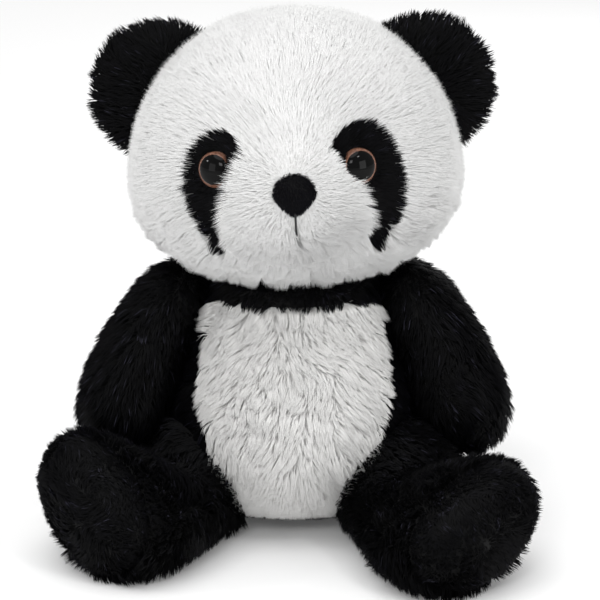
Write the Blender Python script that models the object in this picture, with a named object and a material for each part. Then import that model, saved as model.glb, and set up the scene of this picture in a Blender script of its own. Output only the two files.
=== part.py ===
"""Seated plush panda, made of separate sewn panels, fillings, safety eyes and stitches.

Metres, +Z up, the panda faces -Y, and its own left side is +X.
The origin is on the floor under the middle of the seat.
"""

import bmesh
import bpy
from math import acos, cos, exp, pi, radians, sin
from mathutils import Matrix, Vector

MM = 0.001

# Driving dimensions, in millimetres
SKIN = 2.0  # thickness of the backing cloth of a plush panel
EAR_SKIN = 1.5
SEAM = 0.4  # gap between two panels along their seam
CLEAR = 0.4  # gap between two pieces that rest on each other
FILL_CLEAR = 0.9  # gap between a filling and the panels around it
REACH = 150.0  # further than any piece reaches, for cutting halves

HEAD_CENTRE = (2.0, -8.0, 176.0)
HEAD_RADII = (71.0, 60.0, 63.0)
HEAD_UNDERSIDE = 0.83  # how deep the lower half is, against the upper half
HEAD_SQUARENESS = 2.25  # 2 is an ellipsoid
HEAD_SEAM = 6.0  # how far behind its middle the head's two halves meet
CHEEK_FULLNESS = 0.10  # how much wider the head is below its middle
SNOUT_LENGTH = 19.0
SNOUT_SPREAD = radians(24)
SNOUT_BLUNTNESS = 3.0  # 2 is a plain bell shape
SNOUT_DROP = 0.02
NECK_PIVOT = (1.0, -8.0, 148.0)
HEAD_ROLL = radians(2.8)
NECK_OPENING = 27.0
NECK_BALL = 18.0
NECK_STEM = 15.0
NECK_SEAM = 22.0  # radius of the seam round the neck
NECK_GAP = 5.0  # room between the head and the body, for the nod and the turn
NECK_WAY = 23.0  # radius of the way through the head's filling
STEM_LIFT = 3.0  # how far above the body the neck's stem starts

EYE_SPACING = {"left": 27.3, "right": 33.0}  # from the middle of the face
EYE_HEIGHT = 8.0  # above the head's centre
EYE_RADIUS = 8.0
EYE_DOME = 4.6
EYE_CLEAR = 0.3  # gap between an eye's own pieces
EYE_REACH = 9.0  # further than an eye stands out of the face
EYE_LIFT = 0.7  # of the eye's back off the face
EYE_BACK = 1.2  # thickness of the eye's back
EYE_TURN = radians(28)  # how far each eye looks outwards
POST_RADIUS = 2.0
POST_LENGTH = 15.0
POST_CLEAR = 0.5
WASHER_RADIUS = 8.0
WASHER_DEPTH = 6.6  # below the face
WASHER_THICK = 1.6
WASHER_CLEAR = 0.6

NOSE_RADII = (8.8, 6.4, 8.7)
NOSE_HEIGHT = 0.4
NOSE_SINK = 1.5  # how far the nose's middle is behind the face
NOSE_TAPER = 0.45  # how much narrower its bottom is
MOUTH_GAP = 1.2  # between the nose and the stitch below it
MOUTH_LENGTH = 13.0
THREAD_RADIUS = 0.6

# From the head's centre
EAR_CENTRE = {"left": (60.0, 6.0, 28.5), "right": (59.5, 6.0, 31.5)}
EAR_RADIUS = 29.0
EAR_HALF_THICKNESS = 6.5
EAR_GAP = 2.4

# Body sections: height, half width, reach to the front, reach to the back
BODY_SECTIONS = (
    (0.0, 36.0, 18.0, 33.0),
    (3.5, 47.0, 26.0, 42.0),
    (12.0, 56.0, 40.0, 49.0),
    (24.0, 61.5, 54.0, 52.0),
    (40.0, 62.0, 62.5, 52.0),
    (56.0, 59.0, 63.5, 49.5),
    (72.0, 53.5, 59.0, 46.0),
    (90.0, 46.0, 51.0, 41.0),
    (106.0, 39.5, 42.0, 36.0),
    (118.0, 34.5, 35.0, 31.0),
    (126.0, 23.0, 24.0, 22.0),
)
SEAT_SEAM = 8.0  # height of the seam round the seat

# Arm: the shoulder is a point on a sloping plane that the arm lies against
SHOULDER = (43.5, -2.0, 100.0)
SHOULDER_SLOPE = radians(21.7)
ARM_REST = radians(22)  # how far the arm hangs forward
# Arm sections: distance along the arm, middle off the plane, half thickness, half width
ARM_SECTIONS = (
    (-14.0, 11.0, 7.0, 9.5),
    (-6.0, 13.2, 12.0, 16.0),
    (8.0, 15.6, 15.0, 19.5),
    (28.0, 17.6, 17.2, 20.0),
    (46.0, 18.4, 18.0, 19.5),
    (60.0, 17.8, 16.8, 18.0),
    (70.0, 17.5, 12.0, 13.5),
)
ARM_ENDS = ((-18.5, 11.0), (76.0, 17.5))
ARM_SEAM = 15.0  # how far off the plane the arm's two panels meet

# Leg: it swings about an upright axis at the hip
HIP = {"left": (45.0, -35.0), "right": (45.0, -30.0)}
THIGH_RADIUS = 26.0
THIGH_HALF_HEIGHT = 27.0
LEG_MIDDLE = 27.6  # height of the thigh's middle
LEG_TURN = {"left": radians(26), "right": radians(38)}
LEG_STRETCH = {"left": 1.05, "right": 0.96}
FLOOR_GAP = 0.6  # between the legs and the floor
# Leg sections: distance from the hip, half width, lowest and highest point
LEG_SECTIONS = (
    (12.0, 26.0, FLOOR_GAP, 52.0),
    (26.0, 28.0, FLOOR_GAP, 42.0),
    (38.0, 30.0, FLOOR_GAP, 41.0),
    (50.0, 31.8, FLOOR_GAP, 46.0),
    (62.0, 31.5, 1.5, 50.0),
    (74.0, 28.0, 4.5, 48.0),
    (82.0, 20.0, 9.5, 41.0),
)
LEG_END = (86.0, 25.0)
FOOT_START = 26.0  # where along the leg it begins to turn into the foot
FOOT_FULL = 62.0
TOE_RISE = {"left": 2.0, "right": 8.0}  # how much higher the foot is than the sections say
TOE_TILT = 0.16  # how much the foot's outer side is raised, for each unit outwards
TOE_INNER_LIFT = 0.2  # the share of the tilt that the middle of the foot's inner side has
TOE_OUTER_LIFT = 0.8  # the least share of the tilt on its outer side
TOE_FLARE = 0.26  # how much further out the foot is, for each unit upwards
SOLE_START = 70.0
SOLE_TILT = radians(18)
HIP_GAP = 0.8
LEG_SWING_IN = radians(4)

TAIL_CENTRE = (0.0, 52.0, 26.0)
TAIL_RADII = (13.0, 13.0, 12.0)

CLOSING_STITCHES = 9
CLOSING_START = 54.0
CLOSING_STEP = 4.0
CLOSING_WIDTH = 2.2  # each side of the seam
LABEL_PLACE = (-30.0, 42.0)
LABEL_SIZE = (14.0, 12.0, 0.5)

PELLET_BAG_CENTRE = (0.0, 12.0, 19.0)
PELLET_BAG_RADII = (30.0, 22.0, 12.0)
BAG_VENT_RADIUS = 3.0  # the way by which the bag was put into the filling

# Outlines of the face panels, seen from the front, from the head's centre
MUZZLE_OUTLINE = ((0, 24), (14, 19), (23, 5), (27, -12), (22, -26), (0, -33))
PATCH_OUTLINE = {
    "left": (
        (22, 23),
        (33, 23),
        (41, 13),
        (45, -3),
        (43, -16),
        (38, -27),
        (33, -32),
        (29, -20),
        (27, -6),
        (21, 5),
        (14, 14),
    ),
    "right": (
        (25, 22),
        (34, 21),
        (43, 12),
        (45, -3),
        (41, -17),
        (36, -26),
        (31, -31),
        (28, -18),
        (27, -6),
        (22, 4),
        (17, 13),
    ),
}
BELLY_OUTLINE = ((0, 111), (34, 109), (38, 94), (41, 70), (37, 52), (37, 38), (34, 16), (28, 3), (0, -6))

WHITE_PLUSH = (0.86, 0.85, 0.83)
BLACK_PLUSH = (0.012, 0.012, 0.016)
FIBRE = (0.90, 0.90, 0.88)

SIDES = ((1, "left"), (-1, "right"))


def vec(point):
    return Vector(point) * MM


def new_material(name, colour, roughness, alpha=1.0):
    material = bpy.data.materials.new(name)
    material.use_nodes = True
    shader = material.node_tree.nodes["Principled BSDF"]
    shader.inputs["Base Color"].default_value = (*colour, 1.0)
    shader.inputs["Roughness"].default_value = roughness
    shader.inputs["Metallic"].default_value = 0.0
    shader.inputs["Alpha"].default_value = alpha
    return material


def new_object(name, mesh, parent=None):
    obj = bpy.data.objects.new(name, mesh)
    bpy.context.scene.collection.objects.link(obj)
    obj.parent = parent
    return obj


def new_frame(name, matrix, parent=None):
    """An empty on a joint's axis, which the moving pieces hang from."""
    empty = bpy.data.objects.new(name, None)
    bpy.context.scene.collection.objects.link(empty)
    empty.parent = parent
    empty.matrix_local = matrix
    return empty


def finish_mesh(bm, name):
    bmesh.ops.recalc_face_normals(bm, faces=bm.faces)
    mesh = bpy.data.meshes.new(name)
    bm.to_mesh(mesh)
    bm.free()
    mesh.shade_smooth()
    mesh.set_sharp_from_angle(angle=radians(50))
    return mesh


def loft(name, rings, poles=(None, None)):
    """A closed skin through rings of points; each end is a pole or a flat cap."""
    bm = bmesh.new()
    loops = [[bm.verts.new(point) for point in ring] for ring in rings]
    count = len(rings[0])
    for low, high in zip(loops, loops[1:]):
        for i in range(count):
            j = (i + 1) % count
            bm.faces.new((low[i], low[j], high[j], high[i]))
    for loop, pole in ((loops[0], poles[0]), (loops[-1], poles[1])):
        if pole is None:
            bm.faces.new(loop)
            continue
        tip = bm.verts.new(pole)
        for i in range(count):
            bm.faces.new((loop[i], loop[(i + 1) % count], tip))
    bmesh.ops.triangulate(bm, faces=[face for face in bm.faces if len(face.verts) == 4])
    return finish_mesh(bm, name)


def ball(name, radii, segments, rings, shape=None):
    """A ball whose points can be moved by a shaping function of their direction."""
    bm = bmesh.new()
    bmesh.ops.create_uvsphere(bm, u_segments=segments, v_segments=rings, radius=1.0)
    for vert in bm.verts:
        direction = vert.co.copy()
        scaled = Vector(a * b for a, b in zip(direction, radii))
        vert.co = (shape(direction) if shape else scaled) * MM
    bmesh.ops.triangulate(bm, faces=bm.faces)
    return finish_mesh(bm, name)


def rod(name, radius, start, end, segments=16):
    """A round rod between two points."""
    bm = bmesh.new()
    axis = end - start
    turn = axis.to_track_quat("Z", "Y").to_matrix().to_4x4()
    place = Matrix.Translation((start + end) / 2) @ turn
    bmesh.ops.create_cone(
        bm,
        cap_ends=True,
        segments=segments,
        radius1=radius,
        radius2=radius,
        depth=axis.length,
        matrix=place,
    )
    return finish_mesh(bm, name)


def block(name, low, high):
    bm = bmesh.new()
    bmesh.ops.create_cube(bm, size=1.0)
    for vert in bm.verts:
        for axis in range(3):
            vert.co[axis] = high[axis] if vert.co[axis] > 0 else low[axis]
    return finish_mesh(bm, name)


def prism(name, outline, low, high):
    """A closed outline in the XZ plane, drawn out along Y from low to high."""
    bm = bmesh.new()
    near = [bm.verts.new((x, low, z)) for x, z in outline]
    far = [bm.verts.new((x, high, z)) for x, z in outline]
    bm.faces.new(near)
    bm.faces.new(far)
    count = len(outline)
    for i in range(count):
        j = (i + 1) % count
        bm.faces.new((near[i], near[j], far[j], far[i]))
    return finish_mesh(bm, name)


def smooth_outline(points, steps=3):
    """A closed Catmull-Rom curve through the points."""
    count = len(points)
    curve = []
    for i in range(count):
        p0, p1, p2, p3 = (Vector(points[(i + k) % count]) for k in (-1, 0, 1, 2))
        for step in range(steps):
            t = step / steps
            bend = 2 * p0 - 5 * p1 + 4 * p2 - p3
            twist = 3 * (p1 - p2) + p3 - p0
            curve.append((2 * p1 + (p2 - p0) * t + bend * t * t + twist * t**3) / 2)
    return curve


def grown(outline, amount):
    """The outline moved outwards by amount, or inwards where it is negative."""
    count = len(outline)
    area = sum(
        a.x * b.y - b.x * a.y for a, b in zip(outline, outline[1:] + outline[:1])
    )
    side = 1 if area > 0 else -1
    moved = []
    for i, point in enumerate(outline):
        along = outline[(i + 1) % count] - outline[i - 1]
        outward = Vector((along.y, -along.x)).normalized() * side
        moved.append(point + outward * amount)
    return moved


def mirrored(half):
    """A whole outline from its +X half, which starts and ends on the middle line."""
    return list(half) + [(-x, z) for x, z in reversed(half[1:-1])]


def cutter(name, mesh, parent=None, thicken=0.0):
    """A helper shape for Booleans, which isn't part of the toy."""
    obj = new_object(name, mesh, parent)
    obj.hide_render = True
    obj.display_type = "WIRE"
    if thicken:
        displace(obj, thicken)
    return obj


def displace(obj, amount):
    modifier = obj.modifiers.new("Offset", "DISPLACE")
    modifier.strength = amount * MM
    modifier.mid_level = 0.0
    modifier.direction = "NORMAL"


def hollow(obj, thickness):
    modifier = obj.modifiers.new("Cloth thickness", "SOLIDIFY")
    modifier.thickness = thickness * MM
    modifier.offset = -1.0
    modifier.use_even_offset = False


def cut(obj, tool, operation="DIFFERENCE", solver="EXACT"):
    modifier = obj.modifiers.new("Cut", "BOOLEAN")
    modifier.operation = operation
    modifier.solver = solver
    modifier.object = tool


def panel(name, mesh, material, parent, regions, holes, thickness=SKIN, solver="EXACT"):
    """One sewn panel: the part of a closed skin inside the regions and outside the holes."""
    obj = new_object(name, mesh, parent)
    obj.data = mesh.copy()
    obj.data.materials.append(material)
    hollow(obj, thickness)
    for region in regions:
        cut(obj, region, "INTERSECT", solver)
    for hole in holes:
        cut(obj, hole, "DIFFERENCE", solver)
    return obj


def filling(name, mesh, material, parent, holes, thickness=SKIN):
    obj = new_object(name, mesh.copy(), parent)
    obj.data.materials.append(material)
    displace(obj, -(thickness + FILL_CLEAR))
    for hole in holes:
        cut(obj, hole)
    return obj


def solid(name, mesh, material, parent=None, holes=()):
    mesh.materials.append(material)
    obj = new_object(name, mesh, parent)
    for hole in holes:
        cut(obj, hole)
    return obj


# The head's own shape


def head_point(direction):
    """The head's outer skin in a direction from its centre, in millimetres."""
    shares = (abs(a / b) ** HEAD_SQUARENESS for a, b in zip(direction, HEAD_RADII))
    point = direction * sum(shares) ** (-1 / HEAD_SQUARENESS)
    if point.z < 0:
        point.z *= HEAD_UNDERSIDE
    point.x *= 1 - CHEEK_FULLNESS * point.z / HEAD_RADII[2]
    front = Vector((0, -1, -SNOUT_DROP)).normalized()
    angle = acos(max(-1.0, min(1.0, direction.dot(front))))
    return point + direction * SNOUT_LENGTH * exp(-((angle / SNOUT_SPREAD) ** SNOUT_BLUNTNESS))


def face_point(x, z):
    """The point of the face straight in front of (x, z), both from the head's centre."""
    direction = Vector((x, -HEAD_RADII[1], z)).normalized()
    for _ in range(40):
        point = head_point(direction)
        direction.x += (x - point.x) * 0.01
        direction.z += (z - point.z) * 0.01
        direction.normalize()
    return head_point(direction)


def build_head(head_frame, colours):
    """Face and back panels, eye patches, muzzle and filling, all hung from the neck pivot."""
    offset = Vector(HEAD_CENTRE) - Vector(NECK_PIVOT)
    centre = new_frame("head_centre", Matrix.Translation(offset * MM), head_frame)
    skin = ball("head_skin", HEAD_RADII, 22, 14, head_point)
    reach = REACH * MM
    gap = SEAM / 2
    patches = {name: smooth_outline(PATCH_OUTLINE[name], 2) for _, name in SIDES}
    muzzle = smooth_outline(mirrored(MUZZLE_OUTLINE), 2)
    away, near = -reach, -10 * MM

    def face_cutter(name, outline, amount, side=1):
        shape = [(x * side * MM, z * MM) for x, z in grown(outline, amount)]
        return cutter(name, prism(name, shape, away, near), centre)

    front = block("cut_front", (-reach, -reach, -reach), (reach, (HEAD_SEAM - gap) * MM, reach))
    back = block("cut_back", (-reach, (HEAD_SEAM + gap) * MM, -reach), (reach, reach, reach))
    front = cutter("cut_face_half", front, centre)
    back = cutter("cut_back_half", back, centre)

    pivot = Vector(NECK_PIVOT) - Vector(HEAD_CENTRE)
    below = Vector((pivot.x, pivot.y, -REACH))
    opening = rod("cut_neck_opening", NECK_OPENING * MM, below * MM, pivot * MM, 24)
    opening = cutter("cut_neck_opening", opening, centre)
    socket_ball = ball("cut_neck_socket", (NECK_BALL + CLEAR,) * 3, 20, 12)
    socket_ball.transform(Matrix.Translation(pivot * MM))
    socket_ball = cutter("cut_neck_socket", socket_ball, centre)
    way = rod("cut_neck_way", NECK_WAY * MM, below * MM, pivot * MM, 24)
    way = cutter("cut_neck_way", way, centre)

    face_holes = [face_cutter("cut_muzzle_hole", muzzle, gap), opening]
    eyes = {}
    for side, name in SIDES:
        face_holes.append(face_cutter(f"cut_patch_hole_{name}", patches[name], gap, side))
        eyes[name] = build_eye(name, side, centre, colours)
    seats = [seat for post, pocket, seat in eyes.values()]
    pockets = [hole for post, pocket, seat in eyes.values() for hole in (post, pocket)]
    muzzle_region = face_cutter("cut_muzzle", muzzle, -gap)

    panel("face_cover", skin, colours["white"], centre, [front], face_holes)
    panel("head_back_cover", skin, colours["white"], centre, [back], [opening])
    panel("muzzle_cover", skin, colours["white"], centre, [muzzle_region], seats)
    for side, name in SIDES:
        region = face_cutter(f"cut_patch_{name}", patches[name], -gap, side)
        muzzle_hole = face_cutter(f"cut_patch_edge_{name}", muzzle, gap)
        post, _, seat = eyes[name]
        holes = [muzzle_hole, seat, post]
        black = colours["black"]
        panel(f"eye_patch_{name}", skin, black, centre, [region], holes, solver="MANIFOLD")
    filling("head_filling", skin, colours["fibre"], centre, [socket_ball, way] + pockets)
    build_nose(centre, skin, colours)
    for side, name in SIDES:
        build_ear(name, side, centre, skin, colours)
    skin_guide = cutter("head_clearance", skin.copy(), centre, NECK_GAP)
    return skin_guide


def build_eye(name, side, centre, colours):
    """A safety eye: a clear dome, a coloured back with its post, and a locking washer."""
    place = face_point(side * EYE_SPACING[name], EYE_HEIGHT)
    look = Vector((side * sin(EYE_TURN), -cos(EYE_TURN), 0.1)).normalized()
    base = place + look * EYE_LIFT

    def along(distance):
        return (base + look * distance) * MM

    rings = 6
    profile = []
    for i in range(rings):
        turn = i / rings * pi / 2
        profile.append((EYE_RADIUS * cos(turn), EYE_DOME * sin(turn)))
    across = look.orthogonal().normalized()
    upright = look.cross(across)

    def ring(radius, height, count=20):
        points = []
        for i in range(count):
            turn = 2 * pi * i / count
            spoke = across * cos(turn) + upright * sin(turn)
            points.append((base + spoke * radius + look * height) * MM)
        return points

    dome_base = EYE_BACK + EYE_CLEAR
    dome = [ring(radius, dome_base + height) for radius, height in profile]
    dome_top = along(dome_base + EYE_DOME)
    solid(f"eye_lens_{name}", loft("lens", dome, (None, dome_top)), colours["lens"], centre)

    disc = [
        ring(POST_RADIUS, -POST_LENGTH),
        ring(POST_RADIUS, 0.0),
        ring(EYE_RADIUS, 0.0),
        ring(EYE_RADIUS, EYE_BACK),
    ]
    solid(f"eye_back_{name}", loft("eye_back", disc), colours["iris"], centre)

    washer = [
        ring(WASHER_RADIUS, -WASHER_DEPTH - WASHER_THICK),
        ring(WASHER_RADIUS, -WASHER_DEPTH),
    ]
    hole = rod("washer_hole", (POST_RADIUS + EYE_CLEAR) * MM, along(-POST_LENGTH), along(0), 20)
    hole = cutter(f"cut_washer_{name}", hole, centre)
    solid(f"eye_washer_{name}", loft("washer", washer), colours["washer"], centre, [hole])

    top = along(EYE_REACH)
    post_end = along(-POST_LENGTH - POST_CLEAR)
    pocket_end = along(-WASHER_DEPTH - WASHER_THICK - WASHER_CLEAR)
    post = rod("post_hole", (POST_RADIUS + POST_CLEAR) * MM, post_end, top, 16)
    pocket = rod("pocket", (WASHER_RADIUS + WASHER_CLEAR) * MM, pocket_end, top, 20)
    seat = rod("eye_seat", (EYE_RADIUS + CLEAR) * MM, along(-CLEAR), top, 20)
    post = cutter(f"cut_post_{name}", post, centre)
    pocket = cutter(f"cut_washer_pocket_{name}", pocket, centre)
    seat = cutter(f"cut_eye_seat_{name}", seat, centre)
    return post, pocket, seat


def build_nose(centre, skin, colours):
    """A short-pile nose pad on the snout and one stitch below it."""
    tip = face_point(0.0, NOSE_HEIGHT)

    def nose_shape(direction):
        x, y, z = direction
        narrow = 1.0 + NOSE_TAPER * min(z, 0.0)
        point = Vector((x * narrow, y, z))
        return Vector(a * b for a, b in zip(point, NOSE_RADII))

    nose = ball("nose", NOSE_RADII, 16, 10, nose_shape)
    nose.transform(Matrix.Translation((tip + Vector((0, NOSE_SINK, 0))) * MM))
    snout = cutter("cut_snout", skin.copy(), centre, CLEAR)
    solid("nose", nose, colours["nose"], centre, [snout])

    start = NOSE_HEIGHT - NOSE_RADII[2] - MOUTH_GAP
    steps = 6
    points = []
    for i in range(steps):
        height = start - MOUTH_LENGTH * i / (steps - 1)
        points.append(face_point(0.0, height) + Vector((0, -THREAD_RADIUS - CLEAR, 0)))
    thread("mouth_stitch", points, colours["thread"], centre)


def build_ear(name, side, centre, skin, colours):
    """A flat round ear of two panels and a thin filling, hinged along its seam."""
    x, y, z = EAR_CENTRE[name]
    middle = Vector((side * x, y, z))
    seam = Vector((-side * z, 0, x)).normalized()
    facing = Vector((0, -1, 0))
    outward = seam.cross(facing).normalized() * side
    axes = Matrix((outward, -facing, seam)).transposed().to_4x4()
    hinge = new_frame(f"ear_hinge_{name}", Matrix.Translation(middle * MM) @ axes, centre)

    def pillow(inset):
        rim = EAR_RADIUS - inset
        return ball("ear_pillow", (rim, EAR_HALF_THICKNESS - inset, rim), 16, 10)

    inside = cutter(f"cut_ear_inside_{name}", pillow(EAR_SKIN), hinge)
    head = cutter(f"cut_ear_seat_{name}", skin.copy(), centre, EAR_GAP)
    reach = REACH * MM
    gap = SEAM / 2 * MM
    front = block("ear_front_half", (-reach, -reach, -reach), (reach, -gap, reach))
    back = block("ear_back_half", (-reach, gap, -reach), (reach, reach, reach))
    front = cutter(f"cut_ear_front_{name}", front, hinge)
    back = cutter(f"cut_ear_back_{name}", back, hinge)
    for half, region in (("front", front), ("back", back)):
        obj = solid(f"ear_{half}_{name}", pillow(0.0), colours["black"], hinge)
        cut(obj, region, "INTERSECT")
        cut(obj, inside)
        cut(obj, head)
    stuffing = pillow(EAR_SKIN + FILL_CLEAR)
    solid(f"ear_filling_{name}", stuffing, colours["fibre"], hinge, [head])


# The body


def body_ring(section, count=20):
    height, half_width, front, back = section
    points = []
    for i in range(count):
        turn = 2 * pi * i / count
        depth = back if sin(turn) > 0 else front
        points.append(vec((half_width * cos(turn), depth * sin(turn), height)))
    return points


def shoulder_frame(side):
    """Axes at a shoulder: X out of the sloping plane, Y backwards, Z up the slope."""
    out = Vector((side * cos(SHOULDER_SLOPE), 0, sin(SHOULDER_SLOPE)))
    up = Vector((-side * sin(SHOULDER_SLOPE), 0, cos(SHOULDER_SLOPE)))
    back = up.cross(out)
    axes = Matrix((out, back, up)).transposed().to_4x4()
    x, y, z = SHOULDER
    return Matrix.Translation(vec((side * x, y, z))) @ axes


def build_arm(name, side, colours):
    """A stuffed arm: outer and inner panel and filling, hung from the shoulder."""
    hang = Matrix.Rotation(-side * ARM_REST, 4, "X")
    frame = new_frame(f"shoulder_{name}", shoulder_frame(side) @ hang)
    count = 16
    rings = []
    for distance, middle, thick, wide in ARM_SECTIONS:
        ring = []
        for i in range(count):
            turn = 2 * pi * i / count
            ring.append(vec((middle + thick * cos(turn), wide * sin(turn), -distance)))
        rings.append(ring)
    poles = [vec((middle, 0, -distance)) for distance, middle in ARM_ENDS]
    skin = loft("arm_skin", rings, poles)
    gap = SEAM / 2
    outer = block("arm_outer", vec((ARM_SEAM + gap, -REACH, -REACH)), vec((REACH,) * 3))
    inner = block("arm_inner", vec((0, -REACH, -REACH)), vec((ARM_SEAM - gap, REACH, REACH)))
    outer = cutter(f"cut_arm_outer_{name}", outer, frame)
    inner = cutter(f"cut_arm_inner_{name}", inner, frame)
    panel(f"arm_outer_{name}", skin, colours["black"], frame, [outer], [])
    panel(f"arm_inner_{name}", skin, colours["black"], frame, [inner], [])
    filling(f"arm_filling_{name}", skin, colours["fibre"], frame, [])


def leg_skin(name, side, gap=0.0, swing=0.0, count=18):
    """The leg's closed skin along -Y, with its hip end round about the hip's upright axis.

    A gap makes it thicker all round, and a swing leaves room for the leg to turn.
    """
    outer = 1 if side == "left" else -1
    rings = []
    radius = THIGH_RADIUS + gap
    half_height = THIGH_HALF_HEIGHT + gap
    for i in range(1, 5):
        turn = radians(90 * i / 4)
        size = half_height * sin(turn)
        rings.append((-radius * cos(turn), radius * sin(turn), size, LEG_MIDDLE, 0.0, 0.0))
    for distance, wide, low, high in LEG_SECTIONS:
        share = smooth_step(distance, FOOT_START, FOOT_FULL)
        high += TOE_RISE[side] * share
        wide += gap + distance * sin(swing)
        tall = (high - low) / 2 + gap
        distance *= LEG_STRETCH[side]
        middle = (high + low) / 2
        share *= outer
        rings.append((distance, wide, tall, middle, TOE_TILT * share, TOE_FLARE * share))
    shaped = []
    for distance, wide, tall, middle, tilt, flare in rings:
        ring = []
        for i in range(count):
            turn = 2 * pi * (i + 0.5) / count
            x = wide * cos(turn)
            height = middle + tall * sin(turn)
            lift = max(sin(turn) + TOE_INNER_LIFT, 0.0)
            if x * tilt > 0:
                lift = max(lift, TOE_OUTER_LIFT)
            out = flare * (height - LEG_END[1])
            ring.append(vec((x + out, -distance, height + x * tilt * lift)))
        shaped.append(ring)
    end, height = LEG_END
    end = end * LEG_STRETCH[side] + gap
    poles = (vec((0, radius, LEG_MIDDLE)), vec((0, -end, height + TOE_RISE[side] / 2)))
    return loft(name, shaped, poles)


def smooth_step(value, low, high):
    share = max(0.0, min(1.0, (value - low) / (high - low)))
    return share * share * (3 - 2 * share)


def build_leg(name, side, colours):
    """A stuffed leg: inner and outer panel, sole and filling; returns its pocket's cutter."""
    turn = Matrix.Rotation(side * LEG_TURN[name], 4, "Z")
    x, y = HIP[name]
    hip = Matrix.Translation(vec((side * x, y, 0)))
    frame = new_frame(f"hip_{name}", hip @ turn)
    skin = leg_skin("leg_skin", name)
    reach = REACH
    gap = SEAM / 2
    start = SOLE_START * LEG_STRETCH[name]
    sole_axes = Matrix.Translation(vec((0, -start, LEG_END[1])))
    sole_axes = sole_axes @ Matrix.Rotation(-SOLE_TILT, 4, "X")
    beyond = block("beyond_sole", vec((-reach, -reach, -reach)), vec((reach, -gap, reach)))
    before = block("before_sole", vec((-reach, gap, -reach)), vec((reach, reach, reach)))
    beyond.transform(sole_axes)
    before.transform(sole_axes)
    left = block("plus_side", vec((gap, -reach, -reach)), vec((reach, reach, reach)))
    right = block("minus_side", vec((-reach, -reach, -reach)), vec((-gap, reach, reach)))
    beyond = cutter(f"cut_sole_{name}", beyond, frame)
    before = cutter(f"cut_leg_{name}", before, frame)
    plus = cutter(f"cut_leg_plus_{name}", left, frame)
    minus = cutter(f"cut_leg_minus_{name}", right, frame)
    outer, inner = (plus, minus) if side > 0 else (minus, plus)
    black = colours["black"]
    panel(f"leg_outer_{name}", skin, black, frame, [outer, before], [])
    panel(f"leg_inner_{name}", skin, black, frame, [inner, before], [])
    panel(f"sole_{name}", skin, colours["sole"], frame, [beyond], [])
    filling(f"leg_filling_{name}", skin, colours["fibre"], frame, [])
    pocket = leg_skin("hip_pocket", name, HIP_GAP, LEG_SWING_IN, 20)
    return cutter(f"cut_hip_{name}", pocket, frame)


def build_body(head_guide, pockets, colours):
    """Body panels, filling, seat, pellet bag, neck stuffing, tail, stitches and label."""
    skin = loft("body_skin", [body_ring(section) for section in BODY_SECTIONS])
    reach = REACH
    gap = SEAM / 2
    holes = [head_guide] + pockets
    seam = SEAT_SEAM

    def half_space(name, low, high):
        low = [a if a is not None else -reach for a in low]
        high = [a if a is not None else reach for a in high]
        return cutter(name, block(name, vec(low), vec(high)))

    front = half_space("cut_body_front", (None, None, seam + gap), (None, -gap, None))
    seat = half_space("cut_seat", (None, None, None), (None, None, seam - gap))
    back = {
        "left": half_space("cut_back_left", (gap, gap, seam + gap), (None, None, None)),
        "right": half_space("cut_back_right", (None, gap, seam + gap), (-gap, None, None)),
    }
    belly = smooth_outline(mirrored(BELLY_OUTLINE), 2)

    def belly_cutter(name, amount):
        shape = [(x * MM, z * MM) for x, z in grown(belly, amount)]
        return cutter(name, prism(name, shape, -reach * MM, -20 * MM))

    belly_hole = belly_cutter("cut_belly_hole", gap)
    belly_region = belly_cutter("cut_belly", -gap)
    black, white = colours["black"], colours["white"]
    panel("chest_cover", skin, black, None, [front], [belly_hole] + holes, solver="MANIFOLD")
    panel("belly_cover", skin, white, None, [belly_region, front], holes)
    for name, region in back.items():
        panel(f"back_cover_{name}", skin, black, None, [region], holes)
    panel("seat_cover", skin, black, None, [seat], pockets)

    bag = ball("pellet_bag", PELLET_BAG_RADII, 14, 8)
    bag.transform(Matrix.Translation(vec(PELLET_BAG_CENTRE)))
    room = cutter("cut_bag_room", bag.copy(), None, CLEAR)
    x, y, z = PELLET_BAG_CENTRE
    vent = rod("bag_vent", BAG_VENT_RADIUS * MM, vec((x, y, -CLEAR)), vec((x, y, z)), 12)
    vent = cutter("cut_bag_vent", vent)
    solid("pellet_bag", bag, colours["bag"])
    filling("body_filling", skin, colours["fibre"], None, holes + [room, vent])

    build_neck(head_guide, colours)
    build_tail(skin, colours)
    build_back_trim(colours)


def build_neck(head_guide, colours):
    """Neck stuffing with a ball end in the head, and the seam thread round the neck."""
    x, y, z = NECK_PIVOT
    head_bottom = HEAD_CENTRE[2] - HEAD_RADII[2] * HEAD_UNDERSIDE
    low = head_bottom - NECK_GAP + STEM_LIFT
    bm = bmesh.new()
    bmesh.ops.create_uvsphere(bm, u_segments=20, v_segments=12, radius=NECK_BALL * MM)
    stuffing = finish_mesh(bm, "neck_stuffing")
    stuffing.transform(Matrix.Translation(vec(NECK_PIVOT)))
    obj = solid("neck_stuffing", stuffing, colours["fibre"])
    stem = rod("neck_stem", NECK_STEM * MM, vec((x, y, low)), vec((x, y, z)), 20)
    cut(obj, cutter("join_neck_stem", stem), "UNION")
    count = 20
    height = head_bottom + THREAD_RADIUS
    points = []
    for i in range(count):
        turn = 2 * pi * i / count
        points.append((x + NECK_SEAM * cos(turn), y + NECK_SEAM * sin(turn), height))
    thread("neck_seam_thread", points, colours["thread"], closed=True)


def build_tail(body_skin, colours):
    """A short round tail low on the back."""
    tail = ball("tail_skin", TAIL_RADII, 12, 7)
    place = new_frame("tail_place", Matrix.Translation(vec(TAIL_CENTRE)))
    body = cutter("cut_tail_seat", body_skin.copy(), None, CLEAR)
    panel("tail_cover", tail, colours["white"], place, [], [body], EAR_SKIN)
    filling("tail_filling", tail, colours["fibre"], place, [body], EAR_SKIN)


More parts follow.
